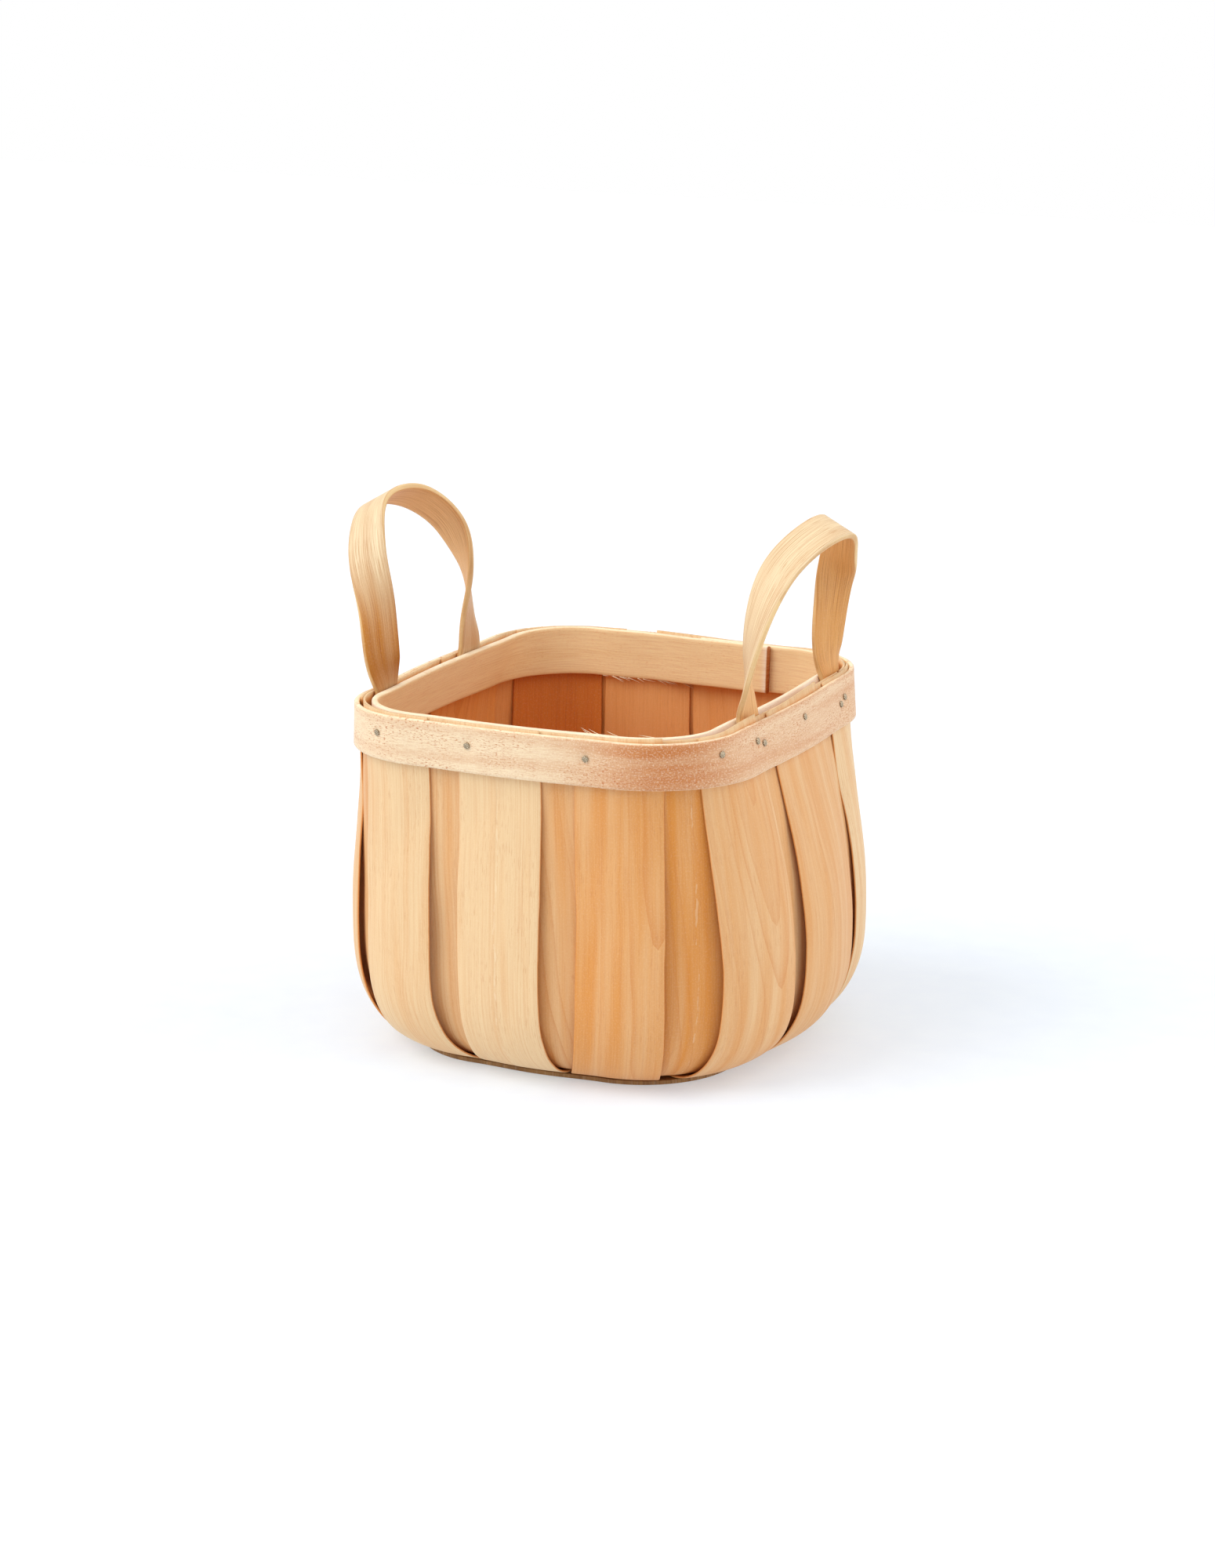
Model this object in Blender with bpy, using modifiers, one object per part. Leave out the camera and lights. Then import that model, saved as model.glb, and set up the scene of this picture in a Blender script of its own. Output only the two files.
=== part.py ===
"""Berry basket of thin wood strips: two rim hoops, two layers of splints, two boards, two handles, nails.

Lengths are in metres, +Z is up and the origin is on the floor under the middle of the basket.
The handles are on the X sides. A share runs once round the wall, anticlockwise seen from above,
from the middle of the +X side.
"""
import math

import bmesh
import bpy
import numpy as np
from mathutils import Matrix, Vector

# Strip thicknesses and the gaps between pieces
outer_hoop_thickness = 0.0024
inner_hoop_thickness = 0.0028
splint_thickness = 0.0009
handle_thickness = 0.0026
board_thickness = 0.0020
layer_gap = 0.0004
butt_gap = 0.0004
leg_clearance = 0.0004

# Rim, measured on the outer face of the outer hoop at its top edge, and how it flares to its bottom one
rim_height = 0.1652
hoop_height = 0.0215
rim_half_x = 0.0918
rim_half_y = 0.1027
rim_radius = 0.0400
rim_flare_x = 0.0053
rim_flare_y = -0.0013
rim_radius_growth = 0.0100
rim_bow = 0.0021
inner_hoop_rise = 0.0010
splint_end_rise = 0.0006
edge_round = 0.0005

# Belly and foot of the wall, measured on the outer face of the outer splints
belly_height = 0.0600
belly_half_x = 0.1083
belly_half_y = 0.1012
belly_radius = 0.0680
belly_shift = 0.0014
belly_bow = 0.0048
bend_drop_power = 0.66
bend_reach_power = 1.10
board_half_x = 0.0760
board_half_y = 0.0740
board_radius = 0.0440
foot_inset = 0.0040
stand_off = 0.0040
tail_length = 0.0110

# Splints: where they sit round the wall, as shares of the way round
splint_width = 0.0415
side_gap = 0.0010
outer_centre_shares = (0.0011, 0.0850, 0.1690, 0.2530, 0.3345, 0.4080,
                       0.4985, 0.5805, 0.6619, 0.7424, 0.8245, 0.9111)
outer_drift_shares = (0.0020, 0, 0, 0, 0, 0,
                      0, 0, 0.0020, -0.0010, -0.0035, 0.0075)
outer_width_shares = (1.35, 1, 1, 1, 1, 1,
                      1, 1, 1, 1, 1, 1.12)
inner_seam_shares = (0.0011, 0.0850, 0.1720, 0.2545, 0.3215, 0.3895,
                     0.5035, 0.5865, 0.6619, 0.7424, 0.8245, 0.9140)
inner_width = 0.0600

# Inner hoop's lapped ends and the outer hoop's butted ends
lap_start_share = 0.1900
lap_length = 0.0400
lap_ramp = 0.0300
butt_share = 0.2900

# Handles, each on one X side: the hand-bent strips differ, and neither sits in its side's middle.
# Each row of the shares is a place on the way from the front leg to the back one: out from the seats,
# along the side, up, and how far the strip has turned over.
handle_width = 0.0178
handle_leg_depth = 0.0195
handle_turn = math.radians(120)
left_handle_shift = -0.0126
left_handle_half_spacing = 0.0433
left_handle_rise = 0.0770
left_handle_lean = 0.0202
left_handle_shares = ((-0.06, -1.09, 0.13, 0.19), (0.24, -0.97, 0.49, 0.33), (0.68, -0.78, 0.79, 0.74),
                      (1.01, -0.35, 1.00, 0.98), (0.84, 0.35, 0.99, 1.00), (0.41, 0.86, 0.77, 0.77),
                      (0.13, 0.99, 0.49, 0.35), (0.08, 0.97, 0.14, 0.00))
right_handle_shift = 0.0092
right_handle_half_spacing = 0.0470
right_handle_rise = 0.0757
right_handle_lean = 0.0173
right_handle_shares = ((0.11, -1.06, 0.25, 0.24), (0.27, -0.93, 0.60, 0.53), (0.48, -0.65, 0.83, 0.78),
                       (0.86, -0.22, 0.98, 0.91), (1.03, 0.33, 1.00, 0.95), (0.66, 0.65, 0.77, 0.84),
                       (0.23, 0.89, 0.53, 0.37), (0.04, 0.93, 0.12, 0.15))

# Nails and tacks. A rim nail's drop is a share of the hoop's height, and a leg nail's place is a share of
# the strip's width and of the hoop's height.
nail_head_radius = 0.0015
nail_head_thickness = 0.0006
nail_shank_radius = 0.0006
nail_bite = 0.0015
hole_clearance = 0.0003
rim_nail_shares = (0.0063, 0.1510, 0.2350, 0.3150, 0.3990, 0.4860,
                   0.5660, 0.6560, 0.7230, 0.8033, 0.8937)
rim_nail_drop_shares = (0.34, 0.41, 0.41, 0.41, 0.41, 0.41,
                        0.41, 0.41, 0.41, 0.41, 0.34)
front_leg_nail_shares = ((-0.38, 0.36), (-0.06, 0.45))
back_leg_nail_shares = ((-0.39, 0.53), (-0.07, 0.43))
tack_inset = 0.0060
tack_bite = 0.0010
tack_offset_share = 0.02
tacked_splints = (0, 2, 4, 6, 8, 10)

# Mesh fineness
hoop_side_steps = 8
hoop_corner_steps = 10
outer_columns = 7
inner_columns = 8
handle_columns = 5
belly_rows = 6
bend_rows = 6
handle_rows = 36
nail_sides = 8
ring_samples = 2000
closest_step_share = 0.3
normal_step = 0.0005
quarter_turn = math.pi / 2

wood_colours = {
    "hoop": (0.84, 0.64, 0.46),
    "outer_splint": (0.86, 0.63, 0.36),
    "inner_splint": (0.74, 0.46, 0.23),
    "handle": (0.78, 0.58, 0.33),
    "board": (0.62, 0.42, 0.24),
    "steel": (0.42, 0.40, 0.34),
}
wood_roughness = 0.6
steel_roughness = 0.4


# The wall's plan

def corner_of(sizes):
    """Half lengths of an outline's straight sides, given as (half_x, half_y, radius, shift_x, bow)."""
    half_x, half_y, radius, _, _ = sizes
    return half_x - radius, half_y - radius


def outline_lengths(sizes):
    """Running length round an outline at the ends of its nine stretches, from the middle of the +X side."""
    straight_x, straight_y = corner_of(sizes)
    arc = sizes[2] * quarter_turn
    steps = (0, straight_y, arc, 2 * straight_x, arc, 2 * straight_y, arc, 2 * straight_x, arc, straight_y)
    return np.cumsum(steps)


def outline_points(shares, sizes):
    """Points and outward normals in plan at shares of the way round a rounded rectangle with bowed sides.

    Each stretch is a straight side or a quarter circle. A point is the corner's centre, slid along the
    side, plus the radius along the outward direction. The bow is a smooth hump on each side.
    """
    lengths = outline_lengths(sizes)
    stations = np.interp(np.mod(shares, 1) * lengths[-1], lengths, (0.5, 1, 2, 3, 4, 5, 6, 7, 8, 8.5))
    stretch = np.floor(stations)
    along = stations - stretch
    side = np.mod(stretch, 2) == 0
    turn = (stretch // 2) * quarter_turn
    angle = turn + np.where(side, 0, along * quarter_turn)
    outward = np.stack([np.cos(angle), np.sin(angle)], -1)
    half_x, half_y = corner_of(sizes)
    centre_x = np.array([half_x, -half_x, -half_x, half_x])
    centre_y = np.array([half_y, half_y, -half_y, -half_y])
    corner = np.mod(stretch // 2, 4).astype(int)
    here = np.stack([centre_x[corner], centre_y[corner]], -1)
    before = np.stack([centre_x[corner - 1], centre_y[corner - 1]], -1)
    slide = np.where(side, 1 - along, 0)[..., None]
    hump = np.where(side, (1 - (2 * along - 1) ** 2) ** 2, 0)[..., None]
    points = here + (before - here) * slide + (sizes[2] + sizes[4] * hump) * outward
    points[..., 0] += sizes[3]
    return points, outward


def inset(sizes, by_x, by_y=None):
    """An outline moved inwards by two distances, with its corners drawn tighter by their mean."""
    by_y = by_x if by_y is None else by_y
    return sizes[0] - by_x, sizes[1] - by_y, sizes[2] - (by_x + by_y) / 2, sizes[3], sizes[4]


rim_top_sizes = (rim_half_x, rim_half_y, rim_radius, 0, rim_bow)
rim_foot_sizes = (rim_half_x + rim_flare_x, rim_half_y + rim_flare_y, rim_radius + rim_radius_growth,
                  0, rim_bow)
belly_sizes = (belly_half_x, belly_half_y, belly_radius, belly_shift, belly_bow)
board_sizes = (board_half_x, board_half_y, board_radius, 0, rim_bow)
hoop_foot_height = rim_height - hoop_height
hoop_middle_height = rim_height - hoop_height / 2
outer_splint_inset = outer_hoop_thickness + layer_gap
inner_splint_inset = outer_splint_inset + splint_thickness + layer_gap
inner_hoop_inset_y = inner_splint_inset + splint_thickness + layer_gap
leg_inner_inset = inner_hoop_inset_y + leg_clearance + handle_thickness
inner_hoop_inset_x = leg_inner_inset + layer_gap + leg_clearance / 2
handle_inset = leg_inner_inset - handle_thickness / 2
outer_foot_height = board_thickness + layer_gap
inner_foot_height = outer_foot_height + splint_thickness + layer_gap
upper_board_height = inner_foot_height + splint_thickness + layer_gap
leg_heights = (rim_height - handle_leg_depth, rim_height - handle_leg_depth / 2,
               rim_height + inner_hoop_rise)


def blend_sizes(first, second, share):
    """Sizes between two outlines."""
    return tuple(a + (b - a) * share for a, b in zip(first, second))


def rim_sizes(height, by_x, by_y=None):
    """The outline at a height of the rim, moved inwards."""
    share = (rim_height - height) / hoop_height
    return inset(blend_sizes(rim_top_sizes, rim_foot_sizes, share), by_x, by_y)


def wall_profile(rim_inset, belly_inset, foot_height, foot_sizes):
    """Heights and outlines down the outer face of a splint, from the rim's top edge to its tail's end.

    Between the hoop and the belly the half sizes follow a cubic that keeps the hoop's slope at its start
    and stands upright at the belly. Below the belly they follow a quarter ellipse, reshaped by powers
    of its sine and cosine, that runs in under the basket, and the tail lies level between the boards.
    """
    top_height = rim_height + splint_end_rise
    heights = (top_height, hoop_middle_height, hoop_foot_height)
    rows = [(height, rim_sizes(height, rim_inset)) for height in heights]
    top = np.array(rim_sizes(rim_height, rim_inset))
    start = np.array(rim_sizes(hoop_foot_height, rim_inset))
    belly = np.array(inset(belly_sizes, belly_inset))
    foot = np.array(foot_sizes)
    drop = hoop_foot_height - belly_height
    slope = (start - top) * drop / hoop_height
    for t in np.linspace(0, 1, belly_rows + 1)[1:]:
        ease = t * t * (3 - 2 * t)
        sizes = start + (belly - start) * ease + slope * t * (1 - t) ** 2
        rows.append((hoop_foot_height - drop * t, tuple(sizes)))
    for angle in np.linspace(0, quarter_turn, bend_rows + 1)[1:]:
        height = belly_height - (belly_height - foot_height) * math.sin(angle) ** bend_drop_power
        rows.append((height, tuple(foot + (belly - foot) * max(math.cos(angle), 0) ** bend_reach_power)))
    rows.append((foot_height, inset(foot_sizes, tail_length)))
    return rows


# Making objects

def collection(name):
    """A new collection in the scene."""
    made = bpy.data.collections.new(name)
    bpy.context.scene.collection.children.link(made)
    return made


def material(name, colour, metallic, roughness):
    """A Principled material of one colour."""
    made = bpy.data.materials.new(name)
    made.use_nodes = True
    shader = made.node_tree.nodes["Principled BSDF"]
    shader.inputs["Base Color"].default_value = (*colour, 1)
    shader.inputs["Metallic"].default_value = metallic
    shader.inputs["Roughness"].default_value = roughness
    return made


def add_object(name, mesh, group, finish):
    """An object of its own material in a collection."""
    made = bpy.data.objects.new(name, mesh)
    mesh.materials.append(finish)
    group.objects.link(made)
    return made


def sheet_mesh(name, points):
    """An open surface of four-sided faces through a grid of points, facing outwards."""
    rows, columns = points.shape[:2]
    corner = np.arange(rows * columns).reshape(rows, columns)
    faces = np.stack([corner[:-1, :-1], corner[1:, :-1], corner[1:, 1:], corner[:-1, 1:]], -1)
    mesh = bpy.data.meshes.new(name)
    mesh.from_pydata(points.reshape(-1, 3).tolist(), [], faces.reshape(-1, 4).tolist())
    return mesh


def add_strip(name, points, thickness, group, finish, rounding=0):
    """A bent strip: its outer face as an open surface, given its thickness inwards."""
    made = add_object(name, sheet_mesh(name, points), group, finish)
    wall = made.modifiers.new("thickness", "SOLIDIFY")
    wall.thickness = thickness
    wall.offset = -1
    wall.use_even_offset = True
    if rounding:
        soften = made.modifiers.new("rounded edges", "BEVEL")
        soften.width = rounding
        soften.segments = 1
        soften.limit_method = "ANGLE"
        soften.angle_limit = math.radians(60)
    return made


def add_board(name, sizes, height, group, finish):
    """A thin board: a closed outline filled and given its thickness upwards."""
    shares = hoop_shares(sizes, 0, 1)[:-1]
    points = outline_points(shares, sizes)[0]
    curve = bpy.data.curves.new(name, "CURVE")
    curve.dimensions = "2D"
    curve.fill_mode = "BOTH"
    curve.extrude = board_thickness / 2
    spline = curve.splines.new("POLY")
    spline.points.add(len(points) - 1)
    for spot, point in zip(spline.points, points):
        spot.co = (point[0], point[1], 0, 1)
    spline.use_cyclic_u = True
    drawn = bpy.data.objects.new(name + "_outline", curve)
    group.objects.link(drawn)
    mesh = bpy.data.meshes.new_from_object(drawn.evaluated_get(bpy.context.evaluated_depsgraph_get()))
    bpy.data.objects.remove(drawn)
    shell = bmesh.new()
    shell.from_mesh(mesh)
    bmesh.ops.remove_doubles(shell, verts=shell.verts, dist=0.00001)
    bmesh.ops.recalc_face_normals(shell, faces=shell.faces)
    bmesh.ops.translate(shell, verts=shell.verts, vec=(0, 0, height + board_thickness / 2))
    shell.to_mesh(mesh)
    shell.free()
    mesh.materials.clear()
    return add_object(name, mesh, group, finish)


def hoop_shares(sizes, first, turns):
    """Shares for a hoop's stations: even steps along its sides and finer ones round its corners."""
    lengths = outline_lengths(sizes)
    half_side = hoop_side_steps // 2
    counts = (half_side, hoop_corner_steps, hoop_side_steps, hoop_corner_steps, hoop_side_steps,
              hoop_corner_steps, hoop_side_steps, hoop_corner_steps, half_side)
    marks = [np.linspace(a, b, n + 1)[:-1] for a, b, n in zip(lengths[:-1], lengths[1:], counts)]
    round_once = np.concatenate(marks) / lengths[-1]
    every = np.concatenate([round_once + k for k in range(-1, 3)])
    near = closest_step_share * (every[1] - every[0])
    inside = every[(every > first + near) & (every < first + turns - near)]
    return np.concatenate([[first], inside, [first + turns]])


# The wall's splints

def splint_points(profile, columns, low_share, high_share, centre_share, width, drift=0):
    """A grid of points down one splint, no wider than its width nor than its room between neighbours.

    A drift slides the splint sideways below the hoop, all of it by the belly.
    """
    across = np.linspace(0, 1, columns)
    rows = []
    for height, sizes in profile:
        length = outline_lengths(sizes)[-1]
        centre = centre_share + drift * np.interp(height, (belly_height, hoop_foot_height), (1, 0))
        low = max(centre - width / 2 / length, low_share + side_gap / 2 / length)
        high = min(centre + width / 2 / length, high_share - side_gap / 2 / length)
        flat = outline_points(low + (high - low) * across, sizes)[0]
        rows.append(np.column_stack([flat, np.full(columns, height)]))
    return np.array(rows)


def middles(shares):
    """Shares half way from each entry back to the one before it, and on to the next."""
    given = np.array(shares)
    ahead = (given + np.mod(np.roll(given, -1) - given, 1) / 2)
    behind = (given - np.mod(given - np.roll(given, 1), 1) / 2)
    return behind, ahead


def outer_profile():
    """The outer layer's profile, with its tails on the lower board."""
    return wall_profile(outer_splint_inset, 0, outer_foot_height, inset(board_sizes, foot_inset))


def inner_profile():
    """The inner layer's profile, set back behind the outer one and with its tails on the outer tails."""
    behind = splint_thickness + stand_off
    foot = inset(board_sizes, foot_inset + splint_thickness + layer_gap)
    return wall_profile(inner_splint_inset, behind, inner_foot_height, foot)


def make_splints(group, finishes):
    """Twelve outer splints, and twelve inner ones between whose seams the outer ones are centred."""
    behind, ahead = middles(outer_centre_shares)
    made = []
    for k, centre in enumerate(outer_centre_shares):
        width = splint_width * outer_width_shares[k]
        points = splint_points(outer_profile(), outer_columns, behind[k], ahead[k], centre, width,
                               outer_drift_shares[k])
        name = f"splint_outer_{k + 1:02d}"
        made.append(add_strip(name, points, splint_thickness, group, finishes["outer_splint"]))
    seams = np.array(inner_seam_shares)
    following = seams + np.mod(np.roll(seams, -1) - seams, 1)
    for k, (low, high) in enumerate(zip(seams, following)):
        points = splint_points(inner_profile(), inner_columns, low, high, (low + high) / 2, inner_width)
        name = f"splint_inner_{k + 1:02d}"
        made.append(add_strip(name, points, splint_thickness, group, finishes["inner_splint"]))
    return made


# The rim's hoops

def hoop_points(shares, levels, inset_x, inset_y, extra):
    """A strip's outer face at two or more heights, with an extra inset at each share."""
    rows = []
    for height in levels:
        flat, outward = outline_points(shares, rim_sizes(height, inset_x, inset_y))
        flat = flat - outward * extra[:, None]
        rows.append(np.column_stack([flat, np.full(len(shares), height)]))
    return np.array(rows)


def make_hoops(group, finishes):
    """The outer hoop with butted ends, and the inner one whose first end laps inside its last."""
    sizes = rim_sizes(hoop_foot_height, 0)
    length = outline_lengths(sizes)[-1]
    shares = hoop_shares(sizes, butt_share, 1 - butt_gap / length)
    levels = (rim_height, hoop_middle_height, hoop_foot_height)
    outer = hoop_points(shares, levels, 0, 0, np.zeros(len(shares)))
    shares = hoop_shares(sizes, lap_start_share, 1 + lap_length / length)
    past = (shares - lap_start_share) * length - lap_length
    ease = np.clip(past / lap_ramp, 0, 1)
    extra = (inner_hoop_thickness + layer_gap) * (1 - ease * ease * (3 - 2 * ease))
    levels = (rim_height + inner_hoop_rise, hoop_middle_height, hoop_foot_height)
    inner = hoop_points(shares, levels, inner_hoop_inset_x, inner_hoop_inset_y, extra)
    return [add_strip("outer_rim_hoop", outer, outer_hoop_thickness, group, finishes["hoop"], edge_round),
            add_strip("inner_rim_hoop", inner, inner_hoop_thickness, group, finishes["hoop"], edge_round)]


# The handles

def side_share(along, sizes, facing):
    """Share of the point at a distance along an X side, which faces +X or -X."""
    length = outline_lengths(sizes)[-1]
    return along / length if facing > 0 else 0.5 - along / length


def leg_seat(along, facing, height):
    """Middle of a leg's thickness on an X side of the rim at a height."""
    sizes = rim_sizes(height, handle_inset)
    flat = outline_points(np.array([side_share(along, sizes, facing)]), sizes)[0]
    return np.array([*flat[0], height])


def seat_outward(along, facing):
    """Level direction out of the basket at a leg's seat, square to the chord across the strip's width."""
    ends = [leg_seat(along + side * handle_width, facing, rim_height) for side in (-0.5, 0.5)]
    chord = ends[1] - ends[0]
    return np.cross(chord, (0, 0, 1)) * facing / np.linalg.norm(chord)


def leg_rows(along, facing):
    """A leg's inner face from its end up to the inner hoop's top, pressed to the rim's curve."""
    rows = []
    for height in leg_heights:
        sizes = rim_sizes(height, leg_inner_inset)
        flat = outline_points(side_share(along, sizes, facing), sizes)[0]
        rows.append(np.column_stack([flat, np.full(len(along), height)]))
    return rows


def smooth_path(points, first_slope, last_slope, count):
    """Even stations on a smooth curve through points, a cubic between each two, with given end slopes.

    Where two cubics meet, both have the slope that the neighbouring points give.
    """
    steps = np.linalg.norm(np.diff(points[:, :3], axis=0), axis=1)
    walked = np.concatenate([[0], np.cumsum(steps)])
    slope = np.gradient(points, walked, axis=0)
    slope[0], slope[-1] = first_slope, last_slope
    at = np.linspace(0, walked[-1], count)
    k = np.clip(np.searchsorted(walked, at, side="right") - 1, 0, len(steps) - 1)
    step = steps[k][:, None]
    t = (at - walked[k])[:, None] / step
    near = points[k] * (1 + 2 * t) + slope[k] * step * t
    far = points[k + 1] * (3 - 2 * t) - slope[k + 1] * step * (1 - t)
    return near * (1 - t) ** 2 + far * t * t


def handle_path(facing, shift, half_spacing, rise, lean, shares):
    """Places along the middle of a strip's thickness, each with how far the strip has turned over.

    Both legs are straight and follow the rim's slope up to the inner hoop's top, where the arch starts.
    """
    legs = [np.array([[*leg_seat(along, facing, height), 0] for height in leg_heights])
            for along in (shift - half_spacing, shift + half_spacing)]
    drawn = np.array(shares)
    base = (legs[0][-1, 0] + legs[1][-1, 0]) / 2
    arch = np.column_stack([base + facing * lean * drawn[:, 0], shift + half_spacing * drawn[:, 1],
                            leg_heights[-1] + rise * drawn[:, 2], drawn[:, 3]])
    rising = [(leg[-1] - leg[0]) / np.linalg.norm(leg[-1] - leg[0]) for leg in legs]
    arch = smooth_path(np.vstack([legs[0][-1], arch, legs[1][-1]]), rising[0], -rising[1], handle_rows)
    return np.vstack([legs[0][:-1], arch, legs[1][-2::-1]])


def handle_points(facing, shift, half_spacing, rise, lean, shares):
    """The strip's outer face: across its centre line, along a direction that twists on the way up.

    In its leg the strip lies flat against the rim. On the way up it turns over, so that the face that
    is inside at the rim is on top at the arch.
    """
    path = handle_path(facing, shift, half_spacing, rise, lean, shares)
    centres, turned = path[:, :3], np.clip(path[:, 3:], 0, 1)
    tangent = np.gradient(centres, axis=0)
    tangent /= np.linalg.norm(tangent, axis=1)[:, None]
    across = np.linspace(0, 1, len(path))[:, None]
    first, last = [seat_outward(along, facing) for along in (shift - half_spacing, shift + half_spacing)]
    out = (1 - across) * first + across * last
    out -= tangent * np.sum(tangent * out, axis=1)[:, None]
    out /= np.linalg.norm(out, axis=1)[:, None]
    turn = math.pi - turned * handle_turn
    normal = np.cos(turn) * out + np.sin(turn) * np.cross(out, tangent) * facing
    across = np.linspace(0.5, -0.5, handle_columns) * handle_width
    sideways = np.cross(tangent, normal)[:, None] * across[:, None]
    face = (centres + normal * handle_thickness / 2)[:, None] + sideways
    face[:len(leg_heights)] = leg_rows(shift - half_spacing - facing * across, facing)
    face[:-len(leg_heights) - 1:-1] = leg_rows(shift + half_spacing + facing * across, facing)
    return face


handles = (
    ("handle_left", -1, left_handle_shift, left_handle_half_spacing, left_handle_rise, left_handle_lean,
     left_handle_shares),
    ("handle_right", 1, right_handle_shift, right_handle_half_spacing, right_handle_rise, right_handle_lean,
     right_handle_shares),
)


def make_handles(group, finishes):
    """The two handles, one on each X side."""
    return [add_strip(name, handle_points(*shape), handle_thickness, group, finishes["handle"])
            for name, *shape in handles]


# The boards

def make_boards(group, finishes):
    """The lower board under the splints' tails, and the upper one on them."""
    upper = inset(board_sizes, foot_inset + splint_thickness + 2 * layer_gap)
    return [add_board("base_board", board_sizes, 0, group, finishes["board"]),
            add_board("inner_base_board", upper, upper_board_height, group, finishes["board"])]


# Nails, tacks and their holes

def hoop_frame(share, height):
    """Place and outward direction on the outer hoop's face, as a matrix with its Z axis outwards.

    The direction is the cross product of the face's run along the hoop and its run up the hoop.
    """
    def spot(at_share, at_height):
        flat = outline_points(np.array([at_share]), rim_sizes(at_height, 0))[0][0]
        return Vector((*flat, at_height))

    along = spot(share + normal_step, height) - spot(share - normal_step, height)
    up = spot(share, height + normal_step) - spot(share, height - normal_step)
    outward = along.cross(up).normalized()
    return Matrix.Translation(spot(share, height)) @ outward.to_track_quat("Z", "Y").to_matrix().to_4x4()


def hoop_depth(frame, height):
    """Distance from a spot on the outer hoop's face inwards to the inner hoop's outer face."""
    sizes = rim_sizes(height, inner_hoop_inset_x, inner_hoop_inset_y)
    ring = outline_points(np.linspace(0, 1, ring_samples), sizes)[0]
    spot = np.array(frame.translation)[:2]
    return float(np.linalg.norm(ring - spot, axis=1).min())


def nail_mesh(length):
    """One nail, turned from half its profile: a flat head over a plain shank that points down -Z."""
    profile = ((0, nail_head_thickness), (nail_head_radius, nail_head_thickness), (nail_head_radius, 0),
               (nail_shank_radius, 0), (nail_shank_radius, -length), (0, -length))
    mesh = bpy.data.meshes.new("nail_profile")
    mesh.from_pydata([(x, 0, z) for x, z in profile], [(k, k + 1) for k in range(len(profile) - 1)], [])
    drawn = bpy.data.objects.new("nail_profile", mesh)
    bpy.context.scene.collection.objects.link(drawn)
    turn = drawn.modifiers.new("turned", "SCREW")
    turn.steps = nail_sides
    turn.render_steps = nail_sides
    turn.use_merge_vertices = True
    turn.merge_threshold = 0.00001
    turned = bpy.data.meshes.new_from_object(drawn.evaluated_get(bpy.context.evaluated_depsgraph_get()))
    bpy.data.objects.remove(drawn)
    return turned


def add_nails(name, places, group, finish):
    """A nail at each place, which is its frame on the face it is driven into and its shank's length."""
    for k, (frame, length) in enumerate(places):
        made = add_object(f"{name}_{k + 1:02d}", nail_mesh(length), group, finish)
        made.matrix_world = frame @ Matrix.Translation((0, 0, hole_clearance))


def add_holes(places, group):
    """One cutter that holds a round bar for each nail, clear of it all round and past its tip."""
    shell = bmesh.new()
    radius = nail_shank_radius + hole_clearance
    for frame, length in places:
        depth = length + nail_head_thickness
        middle = Matrix.Translation((0, 0, nail_head_thickness - depth / 2))
        bmesh.ops.create_cone(shell, cap_ends=True, segments=nail_sides, radius1=radius, radius2=radius,
                              depth=depth, matrix=frame @ middle)
    mesh = bpy.data.meshes.new("nail_hole_cutter")
    shell.to_mesh(mesh)
    shell.free()
    made = bpy.data.objects.new("nail_hole_cutter", mesh)
    made.hide_render = True
    made.display_type = "WIRE"
    group.objects.link(made)
    return made


def rim_nail_places():
    """One nail through the hoops at each outer splint, but for the one that a handle leg's nails hold."""
    places = []
    for share, drop_share in zip(rim_nail_shares, rim_nail_drop_shares):
        height = rim_height - hoop_height * drop_share
        frame = hoop_frame(share, height)
        places.append((frame, hoop_depth(frame, height) + nail_bite))
    return places


def handle_nail_places():
    """Two nails through each leg of each handle, given by their places along the side and down the rim."""
    places = []
    for _, facing, shift, half_spacing, *_ in handles:
        legs = ((shift - half_spacing, front_leg_nail_shares), (shift + half_spacing, back_leg_nail_shares))
        for leg, nail_shares in legs:
            for width_share, drop_share in nail_shares:
                height = rim_height - hoop_height * drop_share
                along = leg + handle_width * width_share
                frame = hoop_frame(side_share(along, rim_sizes(height, 0), facing), height)
                places.append((frame, hoop_depth(frame, height) + nail_bite))
    return places


def tack_places():
    """Tacks down through the upper board and the splints' tails into the lower board."""
    sizes = inset(board_sizes, foot_inset + tack_inset)
    head_height = upper_board_height + board_thickness
    length = head_height - board_thickness + tack_bite
    places = []
    for k in tacked_splints:
        flat = outline_points(np.array([outer_centre_shares[k] + tack_offset_share]), sizes)[0][0]
        places.append((Matrix.Translation((*flat, head_height)), length))
    return places


def pierce(pieces, cutter):
    """Cuts the nails' holes through the pieces that they hold."""
    for piece in pieces:
        cut = piece.modifiers.new("nail holes", "BOOLEAN")
        cut.operation = "DIFFERENCE"
        cut.solver = "EXACT"
        cut.object = cutter


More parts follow.
